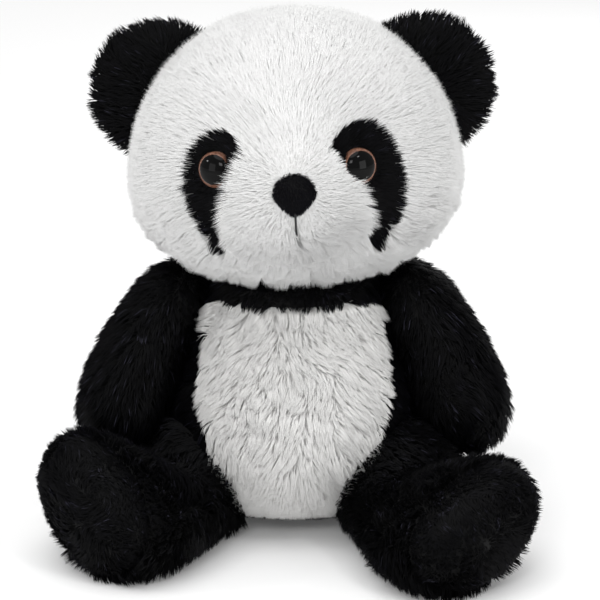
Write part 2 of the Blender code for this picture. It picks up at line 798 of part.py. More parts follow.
def thread(name, points, material, parent=None, closed=False):
    """A sewing thread through the points, given in millimetres."""
    curve = bpy.data.curves.new(name, "CURVE")
    curve.dimensions = "3D"
    curve.bevel_depth = THREAD_RADIUS * MM
    curve.bevel_resolution = 1
    curve.use_fill_caps = not closed
    spline = curve.splines.new("POLY")
    spline.points.add(len(points) - 1)
    spline.use_cyclic_u = closed
    for place, point in zip(spline.points, points):
        place.co = (*(Vector(point) * MM), 1.0)
    curve.materials.append(material)
    return new_object(name, curve, parent)


def back_depth(height):
    """How far back the body reaches on its middle line at a height."""
    for low, high in zip(BODY_SECTIONS, BODY_SECTIONS[1:]):
        if low[0] <= height <= high[0]:
            share = (height - low[0]) / (high[0] - low[0])
            return low[3] + (high[3] - low[3]) * share
    return 0.0


def build_back_trim(colours):
    """The thread that closes the back by hand, and the blank sewn-in label."""
    points = []
    for i in range(CLOSING_STITCHES):
        height = CLOSING_START + CLOSING_STEP * i
        side = CLOSING_WIDTH if i % 2 else -CLOSING_WIDTH
        points.append((side, back_depth(height) + THREAD_RADIUS + CLEAR, height))
    thread("closing_stitch", points, colours["thread"])
    side, back = LABEL_PLACE
    wide, deep, thick = LABEL_SIZE
    middle = SEAT_SEAM
    low = vec((side - wide / 2, back - deep / 2, middle - thick / 2))
    high = vec((side + wide / 2, back + deep / 2, middle + thick / 2))
    label = block("label", low, high)
    body = cutter("cut_label_seat", loft("body", [body_ring(s) for s in BODY_SECTIONS]))
    displace(body, CLEAR)
    solid("sewn_in_label", label, colours["label"], None, [body])


def main():
    for obj in list(bpy.data.objects):
        bpy.data.objects.remove(obj)
    colours = {
        "white": new_material("white_plush", WHITE_PLUSH, 0.9),
        "black": new_material("black_plush", BLACK_PLUSH, 0.8),
        "sole": new_material("sole_plush", (0.02, 0.02, 0.025), 0.75),
        "nose": new_material("nose_plush", (0.010, 0.009, 0.014), 0.7),
        "fibre": new_material("polyester_fibre", FIBRE, 1.0),
        "thread": new_material("black_thread", (0.01, 0.01, 0.01), 0.7),
        "lens": new_material("clear_lens", (0.9, 0.9, 0.9), 0.03, 0.35),
        "iris": new_material("eye_back", (0.20, 0.07, 0.03), 0.25),
        "washer": new_material("washer_plastic", (0.75, 0.75, 0.73), 0.5),
        "bag": new_material("bag_cloth", (0.8, 0.8, 0.76), 0.9),
        "label": new_material("label_cloth", (0.88, 0.88, 0.86), 0.7),
    }
    roll = Matrix.Rotation(-HEAD_ROLL, 4, "Y")
    head_frame = new_frame("neck_pivot", Matrix.Translation(vec(NECK_PIVOT)) @ roll)
    head_guide = build_head(head_frame, colours)
    pockets = []
    for side, name in SIDES:
        build_arm(name, side, colours)
        pockets.append(build_leg(name, side, colours))
    build_body(head_guide, pockets, colours)


main()
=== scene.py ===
"""Looks of the seated plush panda: skins with a long pile, safety eyes, stitches, studio.

Shapes are in millimetres in each part's own frame, and in metres once they are in the row frame.
"""

from math import cos, pi, radians, sin

import bpy
import numpy as np
from mathutils import Matrix, Vector
from mathutils.bvhtree import BVHTree
from mathutils.kdtree import KDTree


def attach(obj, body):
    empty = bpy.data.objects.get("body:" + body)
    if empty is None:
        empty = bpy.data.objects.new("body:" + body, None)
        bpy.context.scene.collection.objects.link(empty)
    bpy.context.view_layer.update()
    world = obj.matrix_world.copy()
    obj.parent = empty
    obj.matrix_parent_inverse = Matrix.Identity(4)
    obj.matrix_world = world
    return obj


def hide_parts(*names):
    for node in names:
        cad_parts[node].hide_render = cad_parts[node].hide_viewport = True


MM = 0.001

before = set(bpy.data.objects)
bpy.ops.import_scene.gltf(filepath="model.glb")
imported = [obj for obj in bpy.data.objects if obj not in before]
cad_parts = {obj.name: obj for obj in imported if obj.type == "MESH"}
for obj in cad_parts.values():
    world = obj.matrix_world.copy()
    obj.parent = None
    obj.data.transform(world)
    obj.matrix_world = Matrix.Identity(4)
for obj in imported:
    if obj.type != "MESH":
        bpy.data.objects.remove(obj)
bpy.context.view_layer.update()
rng = np.random.default_rng(7)

# The toy's own dimensions, in millimetres, as in the CAD source
HEAD_CENTRE = (2.0, -8.0, 176.0)
HEAD_RADII = (71.0, 60.0, 63.0)
HEAD_UNDERSIDE = 0.83
HEAD_SQUARENESS = 2.25
HEAD_SEAM = 6.0
CHEEK_FULLNESS = 0.10
SNOUT_LENGTH = 19.0
SNOUT_SPREAD = radians(24)
SNOUT_BLUNTNESS = 3.0
SNOUT_DROP = 0.02
NECK_PIVOT = (1.0, -8.0, 148.0)
NECK_GAP = 5.0
HEAD_ROLL = radians(2.8)

EYE_SPACING = {"left": 27.3, "right": 33.0}
EYE_HEIGHT = 8.0
EYE_RADIUS = 8.0
EYE_DOME = 4.6
EYE_LIFT = 0.7
EYE_BACK = 1.2
EYE_TURN = radians(28)

NOSE_RADII = (8.8, 6.4, 8.7)
NOSE_HEIGHT = 0.4
NOSE_SINK = 1.5
NOSE_TAPER = 0.45
MOUTH_LENGTH = 13.0

EAR_CENTRE = {"left": (60.0, 6.0, 28.5), "right": (59.5, 6.0, 31.5)}
EAR_RADIUS = 29.0
EAR_HALF_THICKNESS = 6.5

BODY_SECTIONS = (
    (0.0, 36.0, 18.0, 33.0),
    (3.5, 47.0, 26.0, 42.0),
    (12.0, 56.0, 40.0, 49.0),
    (24.0, 61.5, 54.0, 52.0),
    (40.0, 62.0, 62.5, 52.0),
    (56.0, 59.0, 63.5, 49.5),
    (72.0, 53.5, 59.0, 46.0),
    (90.0, 46.0, 51.0, 41.0),
    (106.0, 39.5, 42.0, 36.0),
    (118.0, 34.5, 35.0, 31.0),
    (126.0, 23.0, 24.0, 22.0),
)
SEAT_SEAM = 8.0

SHOULDER = (43.5, -2.0, 100.0)
SHOULDER_SLOPE = radians(21.7)
ARM_REST = radians(22)
ARM_SECTIONS = (
    (-14.0, 11.0, 7.0, 9.5),
    (-6.0, 13.2, 12.0, 16.0),
    (8.0, 15.6, 15.0, 19.5),
    (28.0, 17.6, 17.2, 20.0),
    (46.0, 18.4, 18.0, 19.5),
    (60.0, 17.8, 16.8, 18.0),
    (70.0, 17.5, 12.0, 13.5),
)
ARM_ENDS = ((-18.5, 11.0), (76.0, 17.5))
ARM_SEAM = 15.0

HIP = {"left": (45.0, -35.0), "right": (45.0, -30.0)}
THIGH_RADIUS = 26.0
THIGH_HALF_HEIGHT = 27.0
THIGH_STEPS = 4
LEG_MIDDLE = 27.6
LEG_TURN = {"left": radians(26), "right": radians(38)}
LEG_STRETCH = {"left": 1.05, "right": 0.96}
FLOOR_GAP = 0.6
LEG_SECTIONS = (
    (12.0, 26.0, FLOOR_GAP, 52.0),
    (26.0, 28.0, FLOOR_GAP, 42.0),
    (38.0, 30.0, FLOOR_GAP, 41.0),
    (50.0, 31.8, FLOOR_GAP, 46.0),
    (62.0, 31.5, 1.5, 50.0),
    (74.0, 28.0, 4.5, 48.0),
    (82.0, 20.0, 9.5, 41.0),
)
LEG_END = (86.0, 25.0)
FOOT_START = 26.0
FOOT_FULL = 62.0
TOE_RISE = {"left": 2.0, "right": 8.0}
TOE_TILT = 0.16
TOE_FLARE = 0.26
TOE_INNER_LIFT = 0.2
TOE_OUTER_LIFT = 0.8
SOLE_START = 70.0
SOLE_TILT = radians(18)

TAIL_CENTRE = (0.0, 52.0, 26.0)
TAIL_RADII = (13.0, 13.0, 12.0)

MUZZLE_OUTLINE = ((0, 24), (14, 19), (23, 5), (27, -12), (22, -26), (0, -33))
PATCH_OUTLINE = {
    "left": (
        *((22, 23), (33, 23), (41, 13), (45, -3), (43, -16), (38, -27)),
        *((33, -32), (29, -20), (27, -6), (21, 5), (14, 14)),
    ),
    "right": (
        *((25, 22), (34, 21), (43, 12), (45, -3), (41, -17), (36, -26)),
        *((31, -31), (28, -18), (27, -6), (22, 4), (17, 13)),
    ),
}
BELLY_OUTLINE = (
    *((0, 111), (34, 109), (38, 94), (41, 70), (37, 52)),
    *((37, 38), (34, 16), (28, 3), (0, -6)),
)

SIDES = ((1, "left"), (-1, "right"))


# Materials


def new_material(name, **inputs):
    """A material with a Principled shader, and its node tree's pieces."""
    material = bpy.data.materials.new(name)
    material.use_nodes = True
    nodes = material.node_tree.nodes
    shader = nodes["Principled BSDF"]
    for key, value in inputs.items():
        shader.inputs[key.replace("_", " ")].default_value = value
    return material, nodes, material.node_tree.links, shader


def ramp(nodes, stops):
    """A colour ramp through (place, colour) stops."""
    node = nodes.new("ShaderNodeValToRGB")
    elements = node.color_ramp.elements
    for element, (place, colour) in zip(elements, (stops[0], stops[-1])):
        element.position = place
        element.color = (*colour, 1.0)
    for place, colour in stops[1:-1]:
        element = elements.new(place)
        element.color = (*colour, 1.0)
    return node


PILE_GLOSS = 0.07
PILE_SHEEN_ROUGHNESS = 0.4
RELIEF_DEPTH = 0.0004


def pile_material(name, along, tones_and_glints, roughness, sheen, sheen_tint=(1.0, 1.0, 1.0)):
    """Pile: a root-to-tip colour with painted shade at the roots, times each strand's tone or
    painted glint.
    """
    material, nodes, links, shader = new_material(name, Roughness=roughness)
    shader.inputs["Sheen Weight"].default_value = sheen
    shader.inputs["Sheen Roughness"].default_value = PILE_SHEEN_ROUGHNESS
    shader.inputs["Sheen Tint"].default_value = (*sheen_tint, 1.0)
    shader.inputs["Specular IOR Level"].default_value = PILE_GLOSS
    place = nodes.new("ShaderNodeUVMap")
    place.uv_map = "OFBake"
    split = nodes.new("ShaderNodeSeparateXYZ")
    links.new(place.outputs["UV"], split.inputs[0])
    # Along each strand the colour darkens towards the root: painted shade deep in the pile.
    length = ramp(nodes, along)
    # Across strands a tone for each one; stops above 1 are painted glints on single strands.
    shade = ramp(nodes, tones_and_glints)
    links.new(split.outputs["Y"], length.inputs[0])
    links.new(split.outputs["X"], shade.inputs[0])
    mix = nodes.new("ShaderNodeMix")
    mix.data_type = "RGBA"
    mix.blend_type = "MULTIPLY"
    mix.inputs["Factor"].default_value = 1.0
    links.new(length.outputs["Color"], mix.inputs["A"])
    links.new(shade.outputs["Color"], mix.inputs["B"])
    links.new(mix.outputs["Result"], shader.inputs["Base Color"])
    return material


def cloth_material(name, dark, light, scale, bump=0.4, roughness=0.9, weave=False):
    """A knitted or woven backing: noise in the colour, and a fine relief."""
    material, nodes, links, shader = new_material(name, Roughness=roughness)
    place = nodes.new("ShaderNodeTexCoord")
    noise = nodes.new("ShaderNodeTexNoise")
    noise.inputs["Scale"].default_value = scale
    noise.inputs["Detail"].default_value = 6.0
    links.new(place.outputs["Object"], noise.inputs["Vector"])
    colour = ramp(nodes, ((0.3, dark), (0.7, light)))
    links.new(noise.outputs["Fac"], colour.inputs[0])
    links.new(colour.outputs["Color"], shader.inputs["Base Color"])
    relief = nodes.new("ShaderNodeBump")
    relief.inputs["Strength"].default_value = bump
    relief.inputs["Distance"].default_value = RELIEF_DEPTH
    if weave:
        pattern = nodes.new("ShaderNodeTexWave")
        pattern.inputs["Scale"].default_value = scale * 2
        links.new(place.outputs["Object"], pattern.inputs["Vector"])
        links.new(pattern.outputs["Fac"], relief.inputs["Height"])
    else:
        links.new(noise.outputs["Fac"], relief.inputs["Height"])
    links.new(relief.outputs["Normal"], shader.inputs["Normal"])
    return material


# White and belly pile: darker towards the root as painted shade deep in the pile, lighter at the
# tips.
WHITE_PILE = pile_material(
    "white_pile",
    ((0.0, (0.90, 0.90, 0.89)), (0.5, (0.94, 0.94, 0.935)), (1.0, (0.95, 0.95, 0.945))),
    ((0.0, (0.93, 0.93, 0.925)), (1.0, (1.0, 1.0, 1.0))),
    0.8,
    0.1,
)
BELLY_PILE = pile_material(
    "belly_pile",
    ((0.0, (0.88, 0.873, 0.855)), (0.5, (0.94, 0.934, 0.918)), (1.0, (0.96, 0.956, 0.943))),
    ((0.0, (0.93, 0.93, 0.925)), (1.0, (1.0, 1.0, 1.0))),
    0.8,
    0.1,
)
# Black pile: darker roots are painted shade; the few strands whose tone is 4 to 18 are painted
# glints.
BLACK_PILE = pile_material(
    "black_pile",
    (
        (0.0, (0.0006, 0.0006, 0.0008)),
        (0.6, (0.0014, 0.0014, 0.0019)),
        (1.0, (0.0040, 0.0038, 0.0055)),
    ),
    (
        (0.0, (0.4, 0.4, 0.4)),
        (0.86, (0.9, 0.9, 0.9)),
        (0.90, (4.0, 4.0, 4.2)),
        (1.0, (18.0, 18.0, 19.0)),
    ),
    0.5,
    0.003,
    (0.75, 0.72, 1.0),
)
# Nose pile: darker towards the root as painted shade in the short pile.
NOSE_PILE = pile_material(
    "nose_pile",
    ((0.0, (0.001, 0.001, 0.0015)), (1.0, (0.005, 0.0045, 0.0075))),
    ((0.0, (0.5, 0.5, 0.5)), (1.0, (1.0, 1.0, 1.0))),
    0.5,
    0.02,
    (0.8, 0.75, 1.0),
)
WHITE_CLOTH = cloth_material("white_backing", (0.80, 0.80, 0.79), (0.88, 0.88, 0.87), 900.0)
BLACK_CLOTH = cloth_material("black_backing", (0.0008, 0.0008, 0.001), (0.002, 0.002, 0.0025), 900.0)
FIBRE = cloth_material("polyester_fibre", (0.78, 0.78, 0.77), (0.92, 0.92, 0.91), 300.0)
THREAD = cloth_material("black_thread", (0.006, 0.006, 0.007), (0.02, 0.02, 0.022), 2500.0)
BAG = cloth_material("bag_cloth", (0.66, 0.65, 0.60), (0.80, 0.79, 0.74), 700.0, weave=True)
LABEL = cloth_material("label_satin", (0.80, 0.80, 0.78), (0.90, 0.90, 0.88), 900.0, weave=True)
WASHER = cloth_material("washer_plastic", (0.70, 0.70, 0.68), (0.76, 0.76, 0.74), 120.0, 0.1, 0.5)


# Shapes


def curve_between(p0, p1, p2, p3, steps):
    """Points from p1 up to p2, without p2, on a Catmull-Rom curve."""
    bend = 2 * p0 - 5 * p1 + 4 * p2 - p3
    twist = 3 * (p1 - p2) + p3 - p0
    made = []
    for step in range(steps):
        t = step / steps
        made.append((2 * p1 + (p2 - p0) * t + bend * t * t + twist * t**3) / 2)
    return made


def smooth_rows(rows, steps):
    """More rows between the given ones, on Catmull-Rom curves through them."""
    rows = np.array(rows, float)
    ends = np.vstack([2 * rows[0] - rows[1], rows, 2 * rows[-1] - rows[-2]])
    made = []
    for i in range(len(rows) - 1):
        made += curve_between(*ends[i : i + 4], steps)
    return np.array(made + [rows[-1]])


def grid(rings, poles):
    """Points and faces of a closed skin through rings, with a pole at each end."""
    rings = np.asarray(rings, float)
    rows, columns = rings.shape[:2]
    points = np.vstack([rings.reshape(-1, 3), poles])
    faces = []
    for i in range(rows - 1):
        for j in range(columns):
            k = (j + 1) % columns
            a, b = i * columns, (i + 1) * columns
            faces.append((a + j, a + k, b + k, b + j))
    low, high = rows * columns, rows * columns + 1
    last = (rows - 1) * columns
    for j in range(columns):
        k = (j + 1) % columns
        faces.append((low, k, j))
        faces.append((high, last + j, last + k))
    return points, faces


def sphere_directions(columns, rows):
    """Directions all round, as a grid's points and faces."""
    rings = []
    for i in range(1, rows):
        down = pi * i / rows
        ring = [
            (sin(down) * cos(2 * pi * j / columns), sin(down) * sin(2 * pi * j / columns), cos(down))
            for j in range(columns)
        ]
        rings.append(ring)
    return grid(np.array(rings), [(0, 0, 1), (0, 0, -1)])


def inside_outline(outline, x, z):
    """Which of the points lie inside a closed outline."""
    inside = np.zeros(len(x), bool)
    ends = np.roll(outline, -1, axis=0)
    for (x0, z0), (x1, z1) in zip(outline, ends):
        crosses = (z0 > z) != (z1 > z)
        at = x0 + (z - z0) / np.where(z1 == z0, 1e-9, z1 - z0) * (x1 - x0)
        inside ^= crosses & (x < at)
    return inside


def smooth_outline(points, steps=6):
    """A closed curve through the points."""
    points = np.array(points, float)
    count = len(points)
    curve = []
    for i in range(count):
        curve += curve_between(*(points[(i + k) % count] for k in (-1, 0, 1, 2)), steps)
    return np.array(curve)


def mirrored(half):
    """An outline that is the same on both sides, from its half on one side."""
    return list(half) + [(-x, z) for x, z in reversed(half[1:-1])]


MUZZLE = smooth_outline(mirrored(MUZZLE_OUTLINE))
PATCHES = {name: smooth_outline(PATCH_OUTLINE[name]) for _, name in SIDES}
BELLY = smooth_outline(mirrored(BELLY_OUTLINE))
FRONT = np.array((0.0, -1.0, -SNOUT_DROP))
FRONT /= np.linalg.norm(FRONT)


def head_points(directions):
    """The head's skin in directions from its centre, in millimetres."""
    d = np.atleast_2d(directions)
    shares = (np.abs(d / np.array(HEAD_RADII)) ** HEAD_SQUARENESS).sum(1)
    points = d * shares[:, None] ** (-1 / HEAD_SQUARENESS)
    points[:, 2] = np.where(points[:, 2] < 0, points[:, 2] * HEAD_UNDERSIDE, points[:, 2])
    points[:, 0] *= 1 - CHEEK_FULLNESS * points[:, 2] / HEAD_RADII[2]
    angle = np.arccos(np.clip(d @ FRONT, -1, 1))
    bump = SNOUT_LENGTH * np.exp(-((angle / SNOUT_SPREAD) ** SNOUT_BLUNTNESS))
    return points + d * bump[:, None]


SEARCH_STEPS = 60
SEARCH_GAIN = 0.01


def face_point(x, z):
    """The point of the face straight in front of (x, z), both from the head's centre."""
    d = np.array((x, -HEAD_RADII[1], z))
    d /= np.linalg.norm(d)
    for _ in range(SEARCH_STEPS):
        point = head_points(d)[0]
        d[0] += (x - point[0]) * SEARCH_GAIN
        d[2] += (z - point[2]) * SEARCH_GAIN
        d /= np.linalg.norm(d)
    return head_points(d)[0]


def vec(point):
    """A point in millimetres as a vector in metres."""
    return Vector([float(a) for a in point]) * MM


HEAD_PLACE = (
    Matrix.Translation(vec(NECK_PIVOT))
    @ Matrix.Rotation(-HEAD_ROLL, 4, "Y")
    @ Matrix.Translation(vec(HEAD_CENTRE) - vec(NECK_PIVOT))
)


def ear_place(side, name):
    x, y, z = EAR_CENTRE[name]
    seam = Vector((-side * z, 0, x)).normalized()
    facing = Vector((0, -1, 0))
    outward = seam.cross(facing).normalized() * side
    axes = Matrix((outward, -facing, seam)).transposed().to_4x4()
    return HEAD_PLACE @ Matrix.Translation(vec((side * x, y, z))) @ axes


def arm_place(side):
    out = Vector((side * cos(SHOULDER_SLOPE), 0, sin(SHOULDER_SLOPE)))
    up = Vector((-side * sin(SHOULDER_SLOPE), 0, cos(SHOULDER_SLOPE)))
    axes = Matrix((out, up.cross(out), up)).transposed().to_4x4()
    x, y, z = SHOULDER
    hang = Matrix.Rotation(-side * ARM_REST, 4, "X")
    return Matrix.Translation(vec((side * x, y, z))) @ axes @ hang


def leg_place(side, name):
    x, y = HIP[name]
    return Matrix.Translation(vec((side * x, y, 0))) @ Matrix.Rotation(
        side * LEG_TURN[name], 4, "Z"
    )


def transformed(points, place):
    """Points in millimetres in a frame, as points in metres in the row frame."""
    m = np.array(place)
    return points * MM @ m[:3, :3].T + m[:3, 3]


class Skin:
    """A closed skin: where its points are, in its own frame and in the row frame."""

    def __init__(self, body, local, faces, place):
        self.body = body
        self.local = np.array(local, float)
        self.faces = faces
        self.place = place
        self.points = transformed(self.local, place)
        self.measure()

    def measure(self):
        """Turns the faces outwards; works out the normals, the triangles and a search tree."""
        mesh = bpy.data.meshes.new("skin_work")
        mesh.from_pydata(self.points.tolist(), [], self.faces)
        mesh.update()
        normals = np.zeros(len(self.points) * 3)
        mesh.vertex_normals.foreach_get("vector", normals)
        self.normals = normals.reshape(-1, 3)
        middle = self.points.mean(0)
        if ((self.points - middle) * self.normals).sum() < 0:
            self.faces = [face[::-1] for face in self.faces]
            self.normals = -self.normals
        bpy.data.meshes.remove(mesh)
        triangles = []
        for face in self.faces:
            for i in range(1, len(face) - 1):
                triangles.append((face[0], face[i], face[i + 1]))
        self.triangles = np.array(triangles)
        self.tree = BVHTree.FromPolygons(self.points.tolist(), self.faces)

    def depth(self, point):
        """How far a point is inside the skin, in metres; negative outside."""
        place, normal, _, _ = self.tree.find_nearest(point)
        return -(Vector(point) - place).dot(normal)


def smooth_step(value, low, high):
    """0 up to low, 1 from high on, and a smooth rise between them."""
    share = np.clip((value - low) / (high - low), 0.0, 1.0)
    return share * share * (3 - 2 * share)


def make_head():
    directions, faces = sphere_directions(112, 72)
    return Skin("head", head_points(directions), faces, HEAD_PLACE)


def head_underside(x, y):
    """Height of the head's underside above the floor, in millimetres."""
    a = np.abs((x - HEAD_CENTRE[0]) / HEAD_RADII[0]) ** HEAD_SQUARENESS
    b = np.abs((y - HEAD_CENTRE[1]) / HEAD_RADII[1]) ** HEAD_SQUARENESS
    rest = np.clip(1 - a - b, 0.0, 1.0) ** (1 / HEAD_SQUARENESS)
    return HEAD_CENTRE[2] - HEAD_RADII[2] * HEAD_UNDERSIDE * rest


def make_body():
    rings = []
    for height, wide, front, back in smooth_rows(BODY_SECTIONS, 5):
        turn = np.linspace(0, 2 * pi, 88, endpoint=False)
        depth = np.where(np.sin(turn) > 0, back, front)
        z = np.full(len(turn), max(height, 0.0))
        rings.append(np.stack([wide * np.cos(turn), depth * np.sin(turn), z], 1))
    top = BODY_SECTIONS[-1][0]
    for share in (0.75, 0.5, 0.25):
        smaller = share / (share + 0.25)
        rings.append(rings[-1] * np.array((smaller, smaller, 1.0)))
    points, faces = grid(rings, [(0, 0, 0), (0, 0, top)])
    lowest = head_underside(points[:, 0], points[:, 1]) - NECK_GAP
    points[:, 2] = np.minimum(points[:, 2], lowest)
    return Skin("torso", points, faces, Matrix.Identity(4))


def make_arm(side, name):
    turn = np.linspace(0, 2 * pi, 56, endpoint=False)
    rings = []
    for distance, middle, thick, wide in smooth_rows(ARM_SECTIONS, 6):
        x = middle + thick * np.cos(turn)
        rings.append(np.stack([x, wide * np.sin(turn), np.full(len(turn), -distance)], 1))
    poles = [(middle, 0, -distance) for distance, middle in ARM_ENDS]
    points, faces = grid(rings, poles)
    return Skin(f"arm_{name}", points, faces, arm_place(side))


def make_leg(side, name):
    rows = []
    for i in range(1, THIGH_STEPS + 1):
        turn = radians(90 * i / THIGH_STEPS)
        size = THIGH_HALF_HEIGHT * sin(turn)
        row = (-THIGH_RADIUS * cos(turn), THIGH_RADIUS * sin(turn), size, LEG_MIDDLE, 0.0, 0.0)
        rows.append(row)
    for distance, wide, low, high in LEG_SECTIONS:
        share = float(smooth_step(distance, FOOT_START, FOOT_FULL))
        high += TOE_RISE[name] * share
        distance *= LEG_STRETCH[name]
        lean = (TOE_TILT * share * side, TOE_FLARE * share * side)
        rows.append((distance, wide, (high - low) / 2, (high + low) / 2, *lean))
    turn = np.linspace(0, 2 * pi, 60, endpoint=False)
    rings = []
    for distance, wide, tall, middle, tilt, flare in smooth_rows(rows, 4):
        x = wide * np.cos(turn)
        height = middle + tall * np.sin(turn)
        out = x + flare * (height - LEG_END[1])
        lift = np.maximum(np.sin(turn), -TOE_INNER_LIFT) + TOE_INNER_LIFT
        lift = np.where(x * tilt > 0, np.maximum(lift, TOE_OUTER_LIFT), lift)
        height += x * tilt * lift
        rings.append(np.stack([out, np.full(len(turn), -distance), height], 1))
    end, height = LEG_END
    poles = [
        (0, THIGH_RADIUS, LEG_MIDDLE),
        (0, -end * LEG_STRETCH[name], height + TOE_RISE[name] / 2),
    ]
    points, faces = grid(rings, poles)
    points[:, 2] = np.maximum(points[:, 2], FLOOR_GAP)
    return Skin(f"leg_{name}", points, faces, leg_place(side, name))


def make_ball(body, radii, place, columns, rows):
    directions, faces = sphere_directions(columns, rows)
    return Skin(body, directions * np.array(radii), faces, place)


head = make_head()
body = make_body()
arms = {name: make_arm(side, name) for side, name in SIDES}
legs = {name: make_leg(side, name) for side, name in SIDES}
EAR_RADII = (EAR_RADIUS, EAR_HALF_THICKNESS, EAR_RADIUS)
ears = {
    name: make_ball(f"ear_{name}", EAR_RADII, ear_place(side, name), 64, 40)
    for side, name in SIDES
}
tail = make_ball("torso", TAIL_RADII, Matrix.Translation(vec(TAIL_CENTRE)), 36, 24)


# Which panel a point of a skin is on; every function takes points in the skin's own frame


def head_panel(p):
    x, y, z = p.T
    front = y < -10
    muzzle = inside_outline(MUZZLE, x, z) & front
    left = inside_outline(PATCHES["left"], x, z) & front & ~muzzle
    right = inside_outline(PATCHES["right"], -x, z) & front & ~muzzle
    names = np.where(y < HEAD_SEAM, "face_cover", "head_back_cover").astype(object)
    names[left] = "eye_patch_left"
    names[right] = "eye_patch_right"
    names[muzzle] = "muzzle_cover"
    return names


def body_panel(p):
    x, y, z = p.T
    names = np.where(x > 0, "back_cover_left", "back_cover_right").astype(object)
    names[y < 0] = "chest_cover"
    names[inside_outline(BELLY, x, z) & (y < 0)] = "belly_cover"
    names[z < SEAT_SEAM] = "seat_cover"
    return names


def arm_panel(name):
    return lambda p: np.where(p[:, 0] > ARM_SEAM, f"arm_outer_{name}", f"arm_inner_{name}")


def leg_panel(side, name):
    def panel(p):
        along = (p[:, 1] + SOLE_START * LEG_STRETCH[name]) * cos(SOLE_TILT)
        beyond = along - (p[:, 2] - LEG_END[1]) * sin(SOLE_TILT) < 0
        outer = p[:, 0] * side > 0
        names = np.where(outer, f"leg_outer_{name}", f"leg_inner_{name}").astype(object)
        names[beyond] = f"sole_{name}"
        return names

    return panel


def ear_panel(name):
    return lambda p: np.where(p[:, 1] < 0, f"ear_front_{name}", f"ear_back_{name}")


def tail_panel(p):
    return np.full(len(p), "tail_cover", object)


SKIN_THICKNESS = 1.4
WHITE_PANELS = ("face_cover", "head_back_cover", "muzzle_cover", "tail_cover", "belly_cover")


def build_panels(skin, panel_of, drop=None):
    """A sewn panel for each CAD node of the skin, hollow and closed, in place of the node."""
    centres = np.array([skin.local[list(face)].mean(0) for face in skin.faces])
    world = transformed(centres, skin.place)
    names = panel_of(centres)
    keep = np.ones(len(names), bool) if drop is None else ~drop(world)
    for node in sorted(set(names[keep])):
        chosen = [face for face, n, k in zip(skin.faces, names, keep) if k and n == node]
        used = sorted({i for face in chosen for i in face})
        index = {old: new for new, old in enumerate(used)}
        mesh = bpy.data.meshes.new(node)
        faces = [tuple(index[i] for i in face) for face in chosen]
        mesh.from_pydata(skin.points[used].tolist(), [], faces)
        mesh.shade_smooth()
        mesh.materials.append(WHITE_CLOTH if node in WHITE_PANELS else BLACK_CLOTH)
        piece = bpy.data.objects.new(f"{node}_cloth", mesh)
        bpy.context.scene.collection.objects.link(piece)
        thick = piece.modifiers.new("Cloth thickness", "SOLIDIFY")
        thick.thickness = SKIN_THICKNESS * MM
        thick.offset = -1.0
        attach(piece, skin.body)
        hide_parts(node)


def near_skin(points, skin, reach):
    """Indices of the points within a skin's box, widened by the reach in metres."""
    low = skin.points.min(0) - reach
    high = skin.points.max(0) + reach
    return np.nonzero(np.all((points > low) & (points < high), axis=1))[0]


def inside_any(points, skins, margin):
    """Which points are inside any of the skins, deeper than the margin in metres."""
    found = np.zeros(len(points), bool)
    for skin in skins:
        for i in near_skin(points, skin, 0.001):
            if not found[i] and skin.depth(points[i]) > margin:
                found[i] = True
    return found


# Pile

SOFTNESS = 0.85  # how far a strand's shading follows the skin under it
MOST_STRANDS = 19000  # in one piece
TUFT_GROUP = 6.0  # how many small tufts a loose one is made of
CM2_PER_M2 = 1e4
ROOT_DEPTH = 0.0004  # how far a strand starts inside the skin, in metres
LOWEST_ROOT = 0.0005  # above the floor, in metres
LOWEST_MIDDLE = 0.0006
LOWEST_TIP = 0.0004
STRAND_HEIGHTS = (0.02, 0.02, 0.02, 0.5, 0.5, 0.5, 0.98)  # how far along each point is
MIDDLE_GAP = 0.0004  # from a neighbouring skin, in metres
TIP_GAP = 0.0006
ROOT_GAP = 0.0012


def scatter(skin, density):
    """Roots spread over a skin: row frame points, normals and own-frame points."""
    a, b, c = (skin.points[skin.triangles[:, k]] for k in range(3))
    areas = np.linalg.norm(np.cross(b - a, c - a), axis=1) / 2
    count = int(areas.sum() * CM2_PER_M2 * density)
    steps = (np.arange(count) + rng.random(count)) / count * areas.sum()
    which = np.clip(np.searchsorted(np.cumsum(areas), steps), 0, len(areas) - 1)
    u, v = rng.random(count), rng.random(count)
    flip = u + v > 1
    u[flip], v[flip] = 1 - u[flip], 1 - v[flip]
    weights = np.stack([1 - u - v, u, v], 1)
    corners = skin.triangles[which]
    roots = (skin.points[corners] * weights[:, :, None]).sum(1)
    local = (skin.local[corners] * weights[:, :, None]).sum(1)
    normals = (skin.normals[corners] * weights[:, :, None]).sum(1)
    normals /= np.linalg.norm(normals, axis=1)[:, None]
    return roots, normals, local


def uneven(low, spread, count):
    """Random values from low up to low + spread."""
    return low + spread * rng.random(count)


def unit(v):
    """The directions of a list of vectors."""
    return v / np.maximum(np.linalg.norm(v, axis=1), 1e-9)[:, None]


WAVE_LENGTHS = np.linspace(0.014, 0.045, 10)
WAVES = rng.normal(size=(len(WAVE_LENGTHS), 3))
WAVES *= (2 * pi / WAVE_LENGTHS / np.linalg.norm(WAVES, axis=1))[:, None]
PHASES = rng.random((len(WAVE_LENGTHS), 3)) * 2 * pi


def swirl(points):
    """A smooth random direction field, for the uneven lie of a pile."""
    turned = points @ WAVES.T
    return np.stack([np.sin(turned + PHASES[:, k]).sum(1) for k in range(3)], 1) / 3.0


def push_out(points, skins, margin):
    """Moves points that are inside a neighbouring skin back to just outside it."""
    points = points.copy()
    for skin in skins:
        for i in near_skin(points, skin, 0.002):
            place, normal, _, _ = skin.tree.find_nearest(points[i])
            if (Vector(points[i]) - place).dot(normal) < margin:
                points[i] = place + normal * margin
    return points


